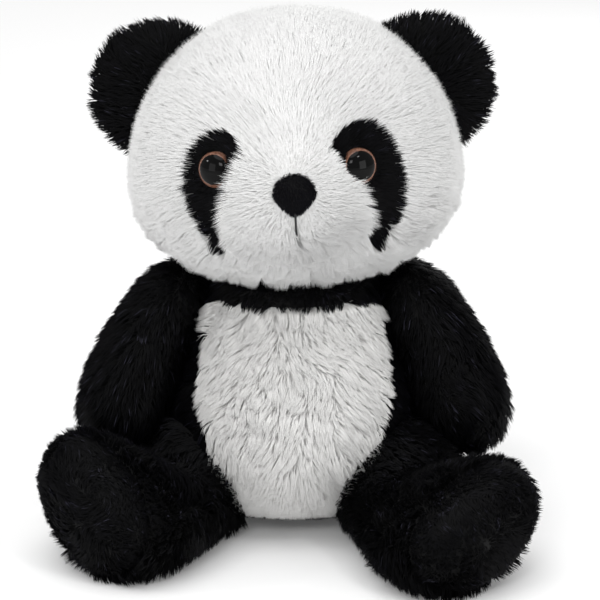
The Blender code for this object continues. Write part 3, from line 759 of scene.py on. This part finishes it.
def strands_mesh(name, roots, mids, tips, widths, normals, tones_and_glints, material):
    """Closed tapering strands with three sides, as one mesh."""
    count = len(roots)
    along = unit(mids - roots)
    side = unit(np.cross(along, normals + 1e-3))
    other = np.cross(along, side)
    points = np.zeros((count, 7, 3))
    for k in range(3):
        turn = 2 * pi * k / 3
        spoke = (side * cos(turn) + other * sin(turn)) * widths[:, None] / 2
        points[:, k] = roots + spoke * 0.8
        points[:, 3 + k] = mids + spoke
    points[:, 6] = tips
    pattern = [(2, 1, 0)]
    for k in range(3):
        n = (k + 1) % 3
        pattern += [(k, n, 3 + n), (k, 3 + n, 3 + k), (3 + k, 3 + n, 6)]
    faces = (np.arange(count)[:, None, None] * 7 + np.array(pattern)[None]).reshape(-1, 3)
    mesh = bpy.data.meshes.new(name)
    mesh.vertices.add(count * 7)
    mesh.vertices.foreach_set("co", points.astype(np.float32).ravel())
    mesh.loops.add(faces.size)
    mesh.loops.foreach_set("vertex_index", faces.astype(np.int32).ravel())
    mesh.polygons.add(len(faces))
    mesh.polygons.foreach_set("loop_start", np.arange(0, faces.size, 3, dtype=np.int32))
    mesh.update(calc_edges=True)
    uv = np.zeros((count, 7, 2), np.float32)
    uv[:, :, 0] = tones_and_glints[:, None]
    uv[:, :, 1] = STRAND_HEIGHTS
    layer = mesh.uv_layers.new(name="OFBake")
    layer.data.foreach_set("uv", uv.reshape(-1, 2)[faces.ravel()].ravel())
    mesh.shade_smooth()
    own = points - (roots[:, None, :] * 0.5 + mids[:, None, :] * 0.5)
    own -= (own * along[:, None, :]).sum(2)[:, :, None] * along[:, None, :]
    own /= np.maximum(np.linalg.norm(own, axis=2), 1e-9)[:, :, None]
    blended = own * (1 - SOFTNESS) + normals[:, None, :] * SOFTNESS
    blended /= np.maximum(np.linalg.norm(blended, axis=2), 1e-9)[:, :, None]
    mesh.normals_split_custom_set_from_vertices(blended.reshape(-1, 3).tolist())
    mesh.materials.append(material)
    return mesh


class Pile:
    """How a panel's pile looks: lengths in millimetres, density per square centimetre."""

    def __init__(self, density, length, width, lean, clump, hold, material, droop=0.0, wild=0.35):
        self.density = density
        self.length = length
        self.width = width
        self.lean = lean  # 0 stands up, 1 lies flat
        self.clump = clump  # spacing of the tufts
        self.hold = hold  # how tightly a tuft holds together
        self.material = material
        self.droop = droop
        self.wild = wild  # how uneven its lie is


def gather(roots, mids, tips, centres, pull):
    """Draws strands together into tufts round some of them; returns which tuft each is in."""
    tree = KDTree(len(centres))
    for k, i in enumerate(centres):
        tree.insert(roots[i], k)
    tree.balance()
    nearest = centres[[tree.find(p)[1] for p in roots]]
    offset = roots - roots[nearest]
    pull = pull[:, None]
    new_tips = tips + (tips[nearest] + offset * 0.12 - tips) * pull
    new_mids = mids + (mids[nearest] + offset * 0.55 - mids) * pull * 0.7
    return new_mids, new_tips, nearest


def lay(pile, roots, normals, directions, fluff, shares):
    """Middles and tips of strands that lean and bend the way the pile is combed."""
    count = len(roots)
    wild = pile.wild * (0.5 + 1.25 * fluff)
    d = directions + swirl(roots) * wild[:, None] + rng.normal(size=roots.shape) * 0.12
    d = unit(d - (d * normals).sum(1)[:, None] * normals)
    length = pile.length * uneven(0.78, 0.36, count) * MM
    length = length * shares
    lean = pile.lean * (1.12 - 0.3 * fluff)
    low = lean * uneven(0.75, 0.3, count) * pi / 2 * 0.8
    high = low + 0.30 + 0.25 * rng.random(count)
    half = length[:, None] / 2
    mids = roots + half * (normals * np.cos(low)[:, None] + d * np.sin(low)[:, None])
    tips = mids + half * (normals * np.cos(high)[:, None] + d * np.sin(high)[:, None])
    tips[:, 2] -= pile.droop * MM * uneven(0.6, 0.8, count)
    return mids, tips


def draw_together(pile, roots, mids, tips, fluff):
    """Gathers strands into large loose tufts, then into small ones; also says which tuft."""
    count = len(roots)
    tufts = count / (pile.density / 100 * pile.clump**2)
    centres = rng.choice(count, max(1, int(tufts / TUFT_GROUP)), False)
    loose = 0.7 * smooth_step(fluff, 0.3, 1.0) * uneven(0.5, 0.5, count)
    mids, tips, tuft = gather(roots, mids, tips, centres, loose)
    tips = mids + (tips - mids) * uneven(0.85, 0.3, count)[tuft][:, None]
    centres = rng.choice(count, max(1, int(tufts)), False)
    hold = np.minimum(pile.hold * (0.64 + 0.9 * fluff), 0.85)
    hold *= uneven(0.55, 0.45, count)
    mids, tips, tuft = gather(roots, mids, tips, centres, hold)
    tips = mids + (tips - mids) * uneven(0.88, 0.24, count)[tuft][:, None]
    return mids, tips, tuft


PLAIN_FLUFF = 0.55


def grow(skin, panel_of, comb, piles, neighbours=(), bare=None, length_of=None, fluff_of=None):
    """Grows the pile of every panel of a skin that has one.

    Where fluff_of is 1 the pile is tousled and stands up, and where it is 0 it lies smooth.
    """
    most = max(p.density for p in piles.values())
    roots, normals, local = scatter(skin, most)
    names = panel_of(local)
    share = np.array([piles[n].density / most if n in piles else 0.0 for n in names])
    keep = rng.random(len(roots)) < share
    if bare is not None:
        keep &= ~bare(local)
    roots, normals, local, names = (a[keep] for a in (roots, normals, local, names))
    keep = ~inside_any(roots, neighbours, -ROOT_GAP)
    roots, normals, local, names = (a[keep] for a in (roots, normals, local, names))
    directions = comb(local)
    for node in sorted(set(names)):
        pile = piles[node]
        mine = names == node
        r, n, d = roots[mine], normals[mine], directions[mine]
        count = len(r)
        fluff = np.full(count, PLAIN_FLUFF) if fluff_of is None else fluff_of(local[mine])
        shares = 1.0 if length_of is None else length_of(node, local[mine])
        mids, tips = lay(pile, r, n, d, fluff, shares)
        mids, tips, tuft = draw_together(pile, r, mids, tips, fluff)
        if neighbours:
            mids = push_out(mids, neighbours, MIDDLE_GAP)
            tips = push_out(tips, neighbours, TIP_GAP)
        start = r - n * ROOT_DEPTH
        mids[:, 2] = np.maximum(mids[:, 2], LOWEST_MIDDLE)
        tips[:, 2] = np.maximum(tips[:, 2], LOWEST_TIP)
        start[:, 2] = np.maximum(start[:, 2], LOWEST_ROOT)
        widths = pile.width * MM * uneven(0.75, 0.5, count)
        # Where each strand sits on its tone ramp; on the black pile the top of that ramp is painted
        # glints.
        tones_and_glints = np.clip(0.7 * rng.random(count) + 0.3 * rng.random(count)[tuft], 0.01, 0.99)
        chunks = int(np.ceil(count / MOST_STRANDS))
        for k in range(chunks):
            name = f"{node}_pile" + (f"_{k + 1}" if chunks > 1 else "")
            part = [a[k::chunks] for a in (start, mids, tips, widths, n, tones_and_glints)]
            piece = bpy.data.objects.new(name, strands_mesh(name, *part, pile.material))
            bpy.context.scene.collection.objects.link(piece)
            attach(piece, skin.body)


def along_skin(place, vector):
    """A direction in a skin's frame, as one in the row frame."""
    return np.array(place)[:3, :3] @ np.array(vector, float)


COMB_DEPTH = 10.0  # behind the nose's tip, where the head's pile is combed away from
EYE_LOOK_UP = 0.1  # the upward share of the way an eye looks
EYE_BARE = 0.5  # how far the pile grows in over an eye's rim
NOSE_BARE = 0.8  # how much of the nose's outline has no pile under it
MOUTH_BARE = 1.0  # half the width of the bare line under the stitch
MOUTH_FRONT = -40.0  # that line is only this far forward of the head's middle
BROW_SHIFT = (-7.0, 0.0, 8.0)  # from the left eye to the middle of the short pile above it
PATCH_RISE = 4.0  # above an eye's middle the patch's outer pile is full length

NOSE_TIP = face_point(0.0, NOSE_HEIGHT)
eye_frames = {}
for side, name in SIDES:
    place = face_point(side * EYE_SPACING[name], EYE_HEIGHT)
    look = np.array((side * sin(EYE_TURN), -cos(EYE_TURN), EYE_LOOK_UP))
    look /= np.linalg.norm(look)
    eye_frames[name] = (place + look * EYE_LIFT, look)


def head_comb(local):
    """Away from the nose all over the head."""
    away = local - (NOSE_TIP + np.array((0.0, COMB_DEPTH, 0.0)))
    return unit(unit(away) @ np.array(HEAD_PLACE)[:3, :3].T)


def head_bare(local):
    """Where no pile grows: under the eyes, under the nose and along the stitch."""
    bare = np.zeros(len(local), bool)
    for base, look in eye_frames.values():
        offset = local - base
        across = offset - (offset @ look)[:, None] * look
        bare |= (np.linalg.norm(across, axis=1) < EYE_RADIUS - EYE_BARE) & (local[:, 1] < 0)
    x, y, z = (local - NOSE_TIP).T
    narrow = 1.0 + NOSE_TAPER * np.minimum(z / NOSE_RADII[2], 0.0)
    under_nose = (x / (NOSE_RADII[0] * narrow)) ** 2 + (z / NOSE_RADII[2]) ** 2 < NOSE_BARE
    bare |= under_nose & (local[:, 1] < 0)
    low = NOSE_TIP[2] - NOSE_RADII[2] - MOUTH_LENGTH
    line = (np.abs(local[:, 0]) < MOUTH_BARE) & (local[:, 2] > low) & (local[:, 2] < NOSE_TIP[2])
    return bare | (line & (local[:, 1] < MOUTH_FRONT))


def head_length(node, local):
    """Shares of a pile's length: short by the nose, on the left brow and below the eyes."""
    from_nose = np.linalg.norm(local - NOSE_TIP, axis=1)
    share = 0.30 + 0.70 * smooth_step(from_nose, 6.0, 26.0)
    if node == "muzzle_cover":
        share *= 1.0 + 0.25 * smooth_step(from_nose, 20.0, 32.0)
    if node in ("muzzle_cover", "face_cover"):
        brow = eye_frames["left"][0] + np.array(BROW_SHIFT)
        share *= 0.35 + 0.65 * smooth_step(np.linalg.norm(local - brow, axis=1), 10.0, 19.0)
    if node == "face_cover":
        chin = smooth_step(-local[:, 2], 36.0, 50.0)
        below_muzzle = smooth_step(-local[:, 2], 22.0, 34.0) * (from_nose < 48.0)
        share *= 1.0 - 0.25 * below_muzzle + 0.1 * chin
    if node.startswith("eye_patch"):
        for base, look in eye_frames.values():
            from_eye = np.linalg.norm(local - base, axis=1)
            inner = np.abs(local[:, 0]) < abs(base[0])
            near = 0.45 + 0.55 * smooth_step(from_eye, 8.5, 13.0)
            share = np.where(inner | (local[:, 2] < base[2] + PATCH_RISE), share * near, share)
    return share


def head_fluff(local):
    """Smooth on the forehead, and in loose tufts on the muzzle, the cheeks and the chin."""
    return smooth_step(-local[:, 2], -6.0, 26.0)


head_piles = {
    "face_cover": Pile(320, 9.0, 0.29, 0.50, 2.4, 0.24, WHITE_PILE, 0.8, 0.2),
    "head_back_cover": Pile(110, 9.0, 0.55, 0.58, 3.4, 0.45, WHITE_PILE, 1.0, 0.25),
    "muzzle_cover": Pile(380, 9.5, 0.28, 0.60, 2.2, 0.26, WHITE_PILE, 0.6, 0.16),
    "eye_patch_left": Pile(300, 7.0, 0.38, 0.55, 2.2, 0.4, BLACK_PILE, 0.3, 0.2),
    "eye_patch_right": Pile(300, 7.0, 0.38, 0.55, 2.2, 0.4, BLACK_PILE, 0.3, 0.2),
}
ear_skins = [ears["left"], ears["right"]]
build_panels(head, head_panel)
grow(head, head_panel, head_comb, head_piles, ear_skins, head_bare, head_length, head_fluff)


LEG_COVER = 0.0006  # in metres


def inside_legs(points):
    """Which parts of the body's skin the legs and the tail cover."""
    return inside_any(points, [*legs.values(), tail], -LEG_COVER)


def body_comb(local):
    """Down, and outwards a little."""
    x, y, z = local.T
    return unit(np.stack([x * 0.026, y * 0.006, np.full(len(x), -1.0)], 1))


def body_length(node, local):
    """Shares of a pile's length: short by the seam round the seat."""
    return 0.45 + 0.55 * smooth_step(local[:, 2], 9.0, 24.0)


def body_fluff(local):
    """Flatter near the seat than above it."""
    return 0.25 + 0.55 * smooth_step(local[:, 2], 20.0, 50.0)


body_piles = {
    "belly_cover": Pile(300, 9.0, 0.31, 0.64, 2.8, 0.42, BELLY_PILE, 0.6, 0.26),
    "chest_cover": Pile(150, 7.5, 0.56, 0.62, 3.0, 0.5, BLACK_PILE, 0.8),
    "back_cover_left": Pile(105, 8.5, 0.60, 0.60, 3.2, 0.5, BLACK_PILE, 0.8),
    "back_cover_right": Pile(105, 8.5, 0.60, 0.60, 3.2, 0.5, BLACK_PILE, 0.8),
    "seat_cover": Pile(90, 7.0, 0.60, 0.60, 3.0, 0.4, BLACK_PILE, 0.2),
}
build_panels(body, body_panel, inside_legs)
near_body = [*legs.values(), *arms.values(), tail]
grow(body, body_panel, body_comb, body_piles, near_body, None, body_length, body_fluff)

build_panels(tail, tail_panel, lambda points: inside_any(points, [body], 0.001))
tail_piles = {"tail_cover": Pile(140, 8.0, 0.55, 0.45, 3.2, 0.55, WHITE_PILE, 1.0)}


def tail_comb(local):
    """Backwards and down, away from a point in the tail's root."""
    x, y, z = local.T
    return unit(np.stack([x, y + 8.0, z - 6.0], 1))


grow(tail, tail_panel, tail_comb, tail_piles, [body])

EAR_ROOT = 16.0  # from the ear's middle to where its pile is combed away from

for side, name in SIDES:
    arm = arms[name]
    build_panels(arm, arm_panel(name))
    arm_piles = {
        f"arm_outer_{name}": Pile(130, 9.2, 0.58, 0.52, 3.2, 0.5, BLACK_PILE, 0.8),
        f"arm_inner_{name}": Pile(95, 8.0, 0.65, 0.58, 3.4, 0.5, BLACK_PILE, 0.5),
    }

    def arm_comb(local, place=arm.place):
        return np.tile(along_skin(place, (0.10, -0.12, -1.0)), (len(local), 1))

    grow(arm, arm_panel(name), arm_comb, arm_piles, [body, head, legs[name]])

    leg = legs[name]
    build_panels(leg, leg_panel(side, name))
    forward = along_skin(leg.place, (0.0, -1.0, 0.25))
    leg_piles = {
        f"leg_outer_{name}": Pile(125, 9.0, 0.60, 0.50, 3.4, 0.5, BLACK_PILE, 0.5),
        f"leg_inner_{name}": Pile(125, 10.0, 0.60, 0.45, 3.4, 0.5, BLACK_PILE, 0.5),
        f"sole_{name}": Pile(170, 5.5, 0.52, 0.62, 2.8, 0.4, BLACK_PILE, 0.2, 0.5),
    }

    def leg_comb(local, forward=forward, place=leg.place):
        """Towards the toes, and outwards round the sole's rim."""
        x, y, z = local.T
        spread = np.stack([x, np.zeros(len(x)), z - LEG_MIDDLE], 1)
        spread = unit(spread @ np.array(place)[:3, :3].T)
        rim = smooth_step(-y, 55.0, 72.0)[:, None]
        return unit(forward + spread * rim * 0.9)

    grow(leg, leg_panel(side, name), leg_comb, leg_piles, [body, arms[name]])

    ear = ears[name]
    build_panels(ear, ear_panel(name), lambda points: inside_any(points, [head], 0.003))
    ear_piles = {
        f"ear_front_{name}": Pile(170, 8.0, 0.50, 0.55, 2.8, 0.5, BLACK_PILE, 0.3),
        f"ear_back_{name}": Pile(130, 8.0, 0.55, 0.55, 3.0, 0.5, BLACK_PILE, 0.3),
    }

    def ear_comb(local, place=ear.place):
        """Away from the ear's root."""
        away = np.stack([local[:, 0] + EAR_ROOT, np.zeros(len(local)), local[:, 2]], 1)
        return unit(unit(away) @ np.array(place)[:3, :3].T)

    grow(ear, ear_panel(name), ear_comb, ear_piles, [head])


# Eyes, nose and stitches

LENS_WALL = 0.5
LENS_GAP = 0.25  # between the dome and the painted back under it
LENS_SEAT = 0.3  # between the back's rim and the dome's
LENS_RIM = 0.2  # the straight part of the dome's side
POST_LENGTH = 14.0
POST_RADIUS = 2.0
POST_BEVEL = 0.4
PUPIL_RADIUS = 6.6
PUPIL_SHIFT = (0.7, 0.4)  # towards the nose and upwards
DOME_STEPS = 32
INSIDE_STEPS = 15
BACK_STEPS = 24


def mesh_object(name, points, faces, materials, place, slots):
    """A piece from a mesh; slots says which of the materials each face has."""
    mesh = bpy.data.meshes.new(name)
    mesh.from_pydata([tuple(p) for p in points], [], faces)
    for material in materials:
        mesh.materials.append(material)
    mesh.polygons.foreach_set("material_index", slots)
    mesh.shade_smooth()
    mesh.set_sharp_from_angle(angle=radians(40))
    piece = bpy.data.objects.new(name, mesh)
    bpy.context.scene.collection.objects.link(piece)
    piece.matrix_world = place
    return piece


def turned(profile, count=64):
    """A closed solid turned about Z from (radius, height) pairs, with a pole at each end."""
    rings = []
    for radius, height in profile[1:-1]:
        turn = np.linspace(0, 2 * pi, count, endpoint=False)
        rings.append(
            np.stack([radius * np.cos(turn), radius * np.sin(turn), np.full(count, height)], 1)
        )
    poles = [(0, 0, profile[0][1]), (0, 0, profile[-1][1])]
    points, faces = grid(rings, poles)
    return points * MM, faces


PUPIL, _, _, pupil_shader = new_material("pupil", Roughness=0.05)
pupil_shader.inputs["Base Color"].default_value = (0.002, 0.002, 0.002, 1.0)
pupil_shader.inputs["Specular IOR Level"].default_value = 0.12

IRIS, iris_nodes, iris_links, iris_shader = new_material("copper_iris", Roughness=0.1)
iris_shader.inputs["Specular IOR Level"].default_value = 0.25
iris_place = iris_nodes.new("ShaderNodeTexCoord")
iris_noise = iris_nodes.new("ShaderNodeTexNoise")
iris_noise.inputs["Scale"].default_value = 1400.0
iris_links.new(iris_place.outputs["Object"], iris_noise.inputs["Vector"])
iris_colour = ramp(iris_nodes, ((0.3, (0.09, 0.038, 0.024)), (0.7, (0.24, 0.115, 0.075))))
iris_links.new(iris_noise.outputs["Fac"], iris_colour.inputs[0])
iris_links.new(iris_colour.outputs["Color"], iris_shader.inputs["Base Color"])

# The pupil and the iris are on the dome itself as well, as they show through it
for side, name in SIDES:
    base, look = eye_frames[name]
    axes = Vector(look.tolist()).to_track_quat("Z", "Y").to_matrix().to_4x4()
    place = HEAD_PLACE @ Matrix.Translation(vec(base)) @ axes
    rim = EYE_BACK + LENS_SEAT
    spring = rim + LENS_RIM

    def arc(inset, low, count):
        """A dome's outline from its rim to near its top, inset from the lens's outside."""
        made = []
        for i in range(count):
            turn = low + (pi / 2 - low) * i / count
            radius = (EYE_RADIUS - inset) * cos(turn)
            made.append((radius, spring + (EYE_DOME - inset) * sin(turn)))
        return made

    to_eye = np.array(axes)[:3, :3].T
    middle = to_eye @ np.array((-side * PUPIL_SHIFT[0], 0.0, PUPIL_SHIFT[1])) * MM

    def paint(points, faces):
        """Which faces show the pupil, as slots of the iris's and the pupil's materials."""
        centres = np.array([np.mean([points[i] for i in face], axis=0) for face in faces])
        from_middle = np.linalg.norm((centres - middle)[:, :2], axis=1)
        inside_pupil = from_middle < PUPIL_RADIUS * MM
        return (inside_pupil & (centres[:, 2] > EYE_BACK * MM)).astype(int)

    outside = [(EYE_RADIUS, rim), *arc(0.0, 0.0, DOME_STEPS)]
    inside = [(EYE_RADIUS - LENS_WALL, rim), *arc(LENS_WALL, 0.0, INSIDE_STEPS)]
    dome = [(0.0, spring + EYE_DOME - LENS_WALL), *inside[::-1], *outside]
    dome.append((0.0, spring + EYE_DOME))
    points, faces = turned(dome)
    slots = paint(points, faces)
    lens = mesh_object(f"eye_lens_{name}_dome", points, faces, [IRIS, PUPIL], place, slots)
    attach(lens, "head")
    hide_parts(f"eye_lens_{name}")
    back = [
        (0.0, -POST_LENGTH),
        (POST_RADIUS - POST_BEVEL, -POST_LENGTH),
        (POST_RADIUS, POST_BEVEL - POST_LENGTH),
        (POST_RADIUS, 0.0),
        (EYE_RADIUS, 0.0),
        (EYE_RADIUS, EYE_BACK),
        *arc(LENS_WALL + LENS_GAP, 0.05, BACK_STEPS),
        (0.0, spring + EYE_DOME - LENS_WALL - LENS_GAP),
    ]
    points, faces = turned(back)
    slots = paint(points, faces)
    iris = mesh_object(f"eye_back_{name}_disc", points, faces, [IRIS, PUPIL], place, slots)
    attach(iris, "head")
    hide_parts(f"eye_back_{name}")


def nose_points(directions):
    """The nose's skin, narrower towards its bottom."""
    d = np.array(directions)
    narrow = 1.0 + NOSE_TAPER * np.minimum(d[:, 2], 0.0)
    d[:, 0] *= narrow
    return d * np.array(NOSE_RADII)


directions, nose_faces = sphere_directions(48, 32)
NOSE_PLACE = HEAD_PLACE @ Matrix.Translation(vec(NOSE_TIP + np.array((0.0, NOSE_SINK, 0.0))))
nose = Skin("head", nose_points(directions), nose_faces, NOSE_PLACE)


def nose_panel(p):
    return np.full(len(p), "nose", object)


def nose_comb(local):
    return np.tile((0.0, 0.0, -1.0), (len(local), 1))


def nose_bare(local):
    """The nose's back, which is against the face."""
    return local[:, 1] > 1.0


build_panels(nose, nose_panel)
nose_piles = {"nose": Pile(700, 2.0, 0.26, 0.5, 1.2, 0.4, NOSE_PILE, 0.1, 0.6)}
grow(nose, nose_panel, nose_comb, nose_piles, bare=nose_bare)


def stitch(name, points, radius, node, body_name):
    """A sewing thread through the points, in metres in the row frame, for its CAD node."""
    curve = bpy.data.curves.new(name, "CURVE")
    curve.dimensions = "3D"
    curve.bevel_depth = radius * MM
    curve.bevel_resolution = 3
    curve.use_fill_caps = True
    spline = curve.splines.new("NURBS")
    spline.points.add(len(points) - 1)
    spline.use_endpoint_u = True
    for place, point in zip(spline.points, points):
        place.co = (*point, 1.0)
    curve.materials.append(THREAD)
    piece = bpy.data.objects.new(name, curve)
    bpy.context.scene.collection.objects.link(piece)
    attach(piece, body_name)
    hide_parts(node)


STITCH_POINTS = 8
STITCH_RADIUS = 0.5
STITCH_START = 0.85  # as a share of the nose's height below its middle
STITCH_FRONT = 3.4  # from the face's cloth out to the thread, over the pile

mouth = []
for i in range(STITCH_POINTS):
    start = NOSE_HEIGHT - NOSE_RADII[2] * STITCH_START
    height = start - MOUTH_LENGTH * i / (STITCH_POINTS - 1)
    on_face = face_point(0.0, height) + np.array((0.0, -STITCH_FRONT, 0.0))
    mouth.append(HEAD_PLACE @ vec(on_face))
stitch("mouth_thread", mouth, STITCH_RADIUS, "mouth_stitch", "head")


# The CAD pieces that stay, with better materials

for name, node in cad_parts.items():
    if node.hide_render:
        continue
    if "filling" in name or name == "neck_stuffing":
        finish = FIBRE
    elif name == "pellet_bag":
        finish = BAG
    elif name == "sewn_in_label":
        finish = LABEL
    elif name.startswith("eye_washer"):
        finish = WASHER
    else:
        finish = THREAD
    for place in node.material_slots:
        place.material = finish


# Studio

FLOOR, _, _, floor_shader = new_material("floor", Roughness=0.9)
floor_shader.inputs["Base Color"].default_value = (0.93, 0.93, 0.93, 1.0)
floor_shader.inputs["Emission Color"].default_value = (1.0, 1.0, 1.0, 1.0)
floor_shader.inputs["Emission Strength"].default_value = 0.06
floor_mesh = bpy.data.meshes.new("floor")
FLOOR_REACH = 12.0
corners = [(x * FLOOR_REACH, y * FLOOR_REACH, 0) for x, y in ((-1, -1), (1, -1), (1, 1), (-1, 1))]
floor_mesh.from_pydata(corners, [], [(0, 1, 2, 3)])
floor_mesh.materials.append(FLOOR)
floor = bpy.data.objects.new("floor", floor_mesh)
bpy.context.scene.collection.objects.link(floor)

scene = bpy.context.scene
world = bpy.data.worlds.new("studio")
scene.world = world
world.use_nodes = True
background = world.node_tree.nodes["Background"]
background.inputs["Color"].default_value = (1.0, 1.0, 1.0, 1.0)
background.inputs["Strength"].default_value = 0.5
scene.view_settings.view_transform = "Standard"
scene.view_settings.look = "None"


def softbox(name, place, target, size, power):
    """A rectangular light that looks at its target; all in metres and watts."""
    light = bpy.data.lights.new(name, "AREA")
    light.shape = "RECTANGLE"
    light.size, light.size_y = size
    light.energy = power
    lamp = bpy.data.objects.new(name, light)
    scene.collection.objects.link(lamp)
    lamp.location = place
    lamp.rotation_euler = (Vector(target) - Vector(place)).to_track_quat("-Z", "Y").to_euler()


FACE = (0.0, -0.06, 0.18)
CHEST = (0.0, 0.0, 0.12)
softbox("key", (-0.16, -1.0, 0.72), (0, 0, 0.15), (0.34, 0.26), 2.3)
softbox("fill_right", (0.85, -0.75, 0.35), CHEST, (0.5, 0.5), 1.9)
softbox("fill_left", (-0.85, -0.75, 0.35), CHEST, (0.5, 0.5), 1.15)
softbox("window_right", (0.50, -0.67, 0.99), FACE, (0.18, 0.08), 1.4)
softbox("window_left", (-0.99, -0.21, 0.63), FACE, (0.16, 0.08), 1.0)
softbox("fill_back", (0.5, 1.1, 0.7), CHEST, (0.6, 0.6), 2.0)
sun = bpy.data.lights.new("overhead", "SUN")
sun.energy = 1.35
sun.angle = radians(50)
overhead = bpy.data.objects.new("overhead", sun)
scene.collection.objects.link(overhead)
overhead.rotation_euler = (radians(12), radians(-6), 0)

TARGET = (3.0, -8.0, 105.5)
PITCH = radians(17)
DISTANCE = 1050.0
SENSOR_WIDTH = 36.0
VIEW_WIDTH = 282.0  # what the camera sees across, at the target
camera_data = bpy.data.cameras.new("camera")
camera_data.sensor_width = SENSOR_WIDTH
camera_data.lens = SENSOR_WIDTH * DISTANCE / VIEW_WIDTH
camera_data.clip_start = 0.05
camera_data.clip_end = 60.0
camera = bpy.data.objects.new("camera", camera_data)
scene.collection.objects.link(camera)
ahead = Vector((0, cos(PITCH), -sin(PITCH)))
camera.location = vec(TARGET) - ahead * DISTANCE * MM
camera.rotation_euler = (radians(90) - PITCH, 0, 0)
scene.camera = camera
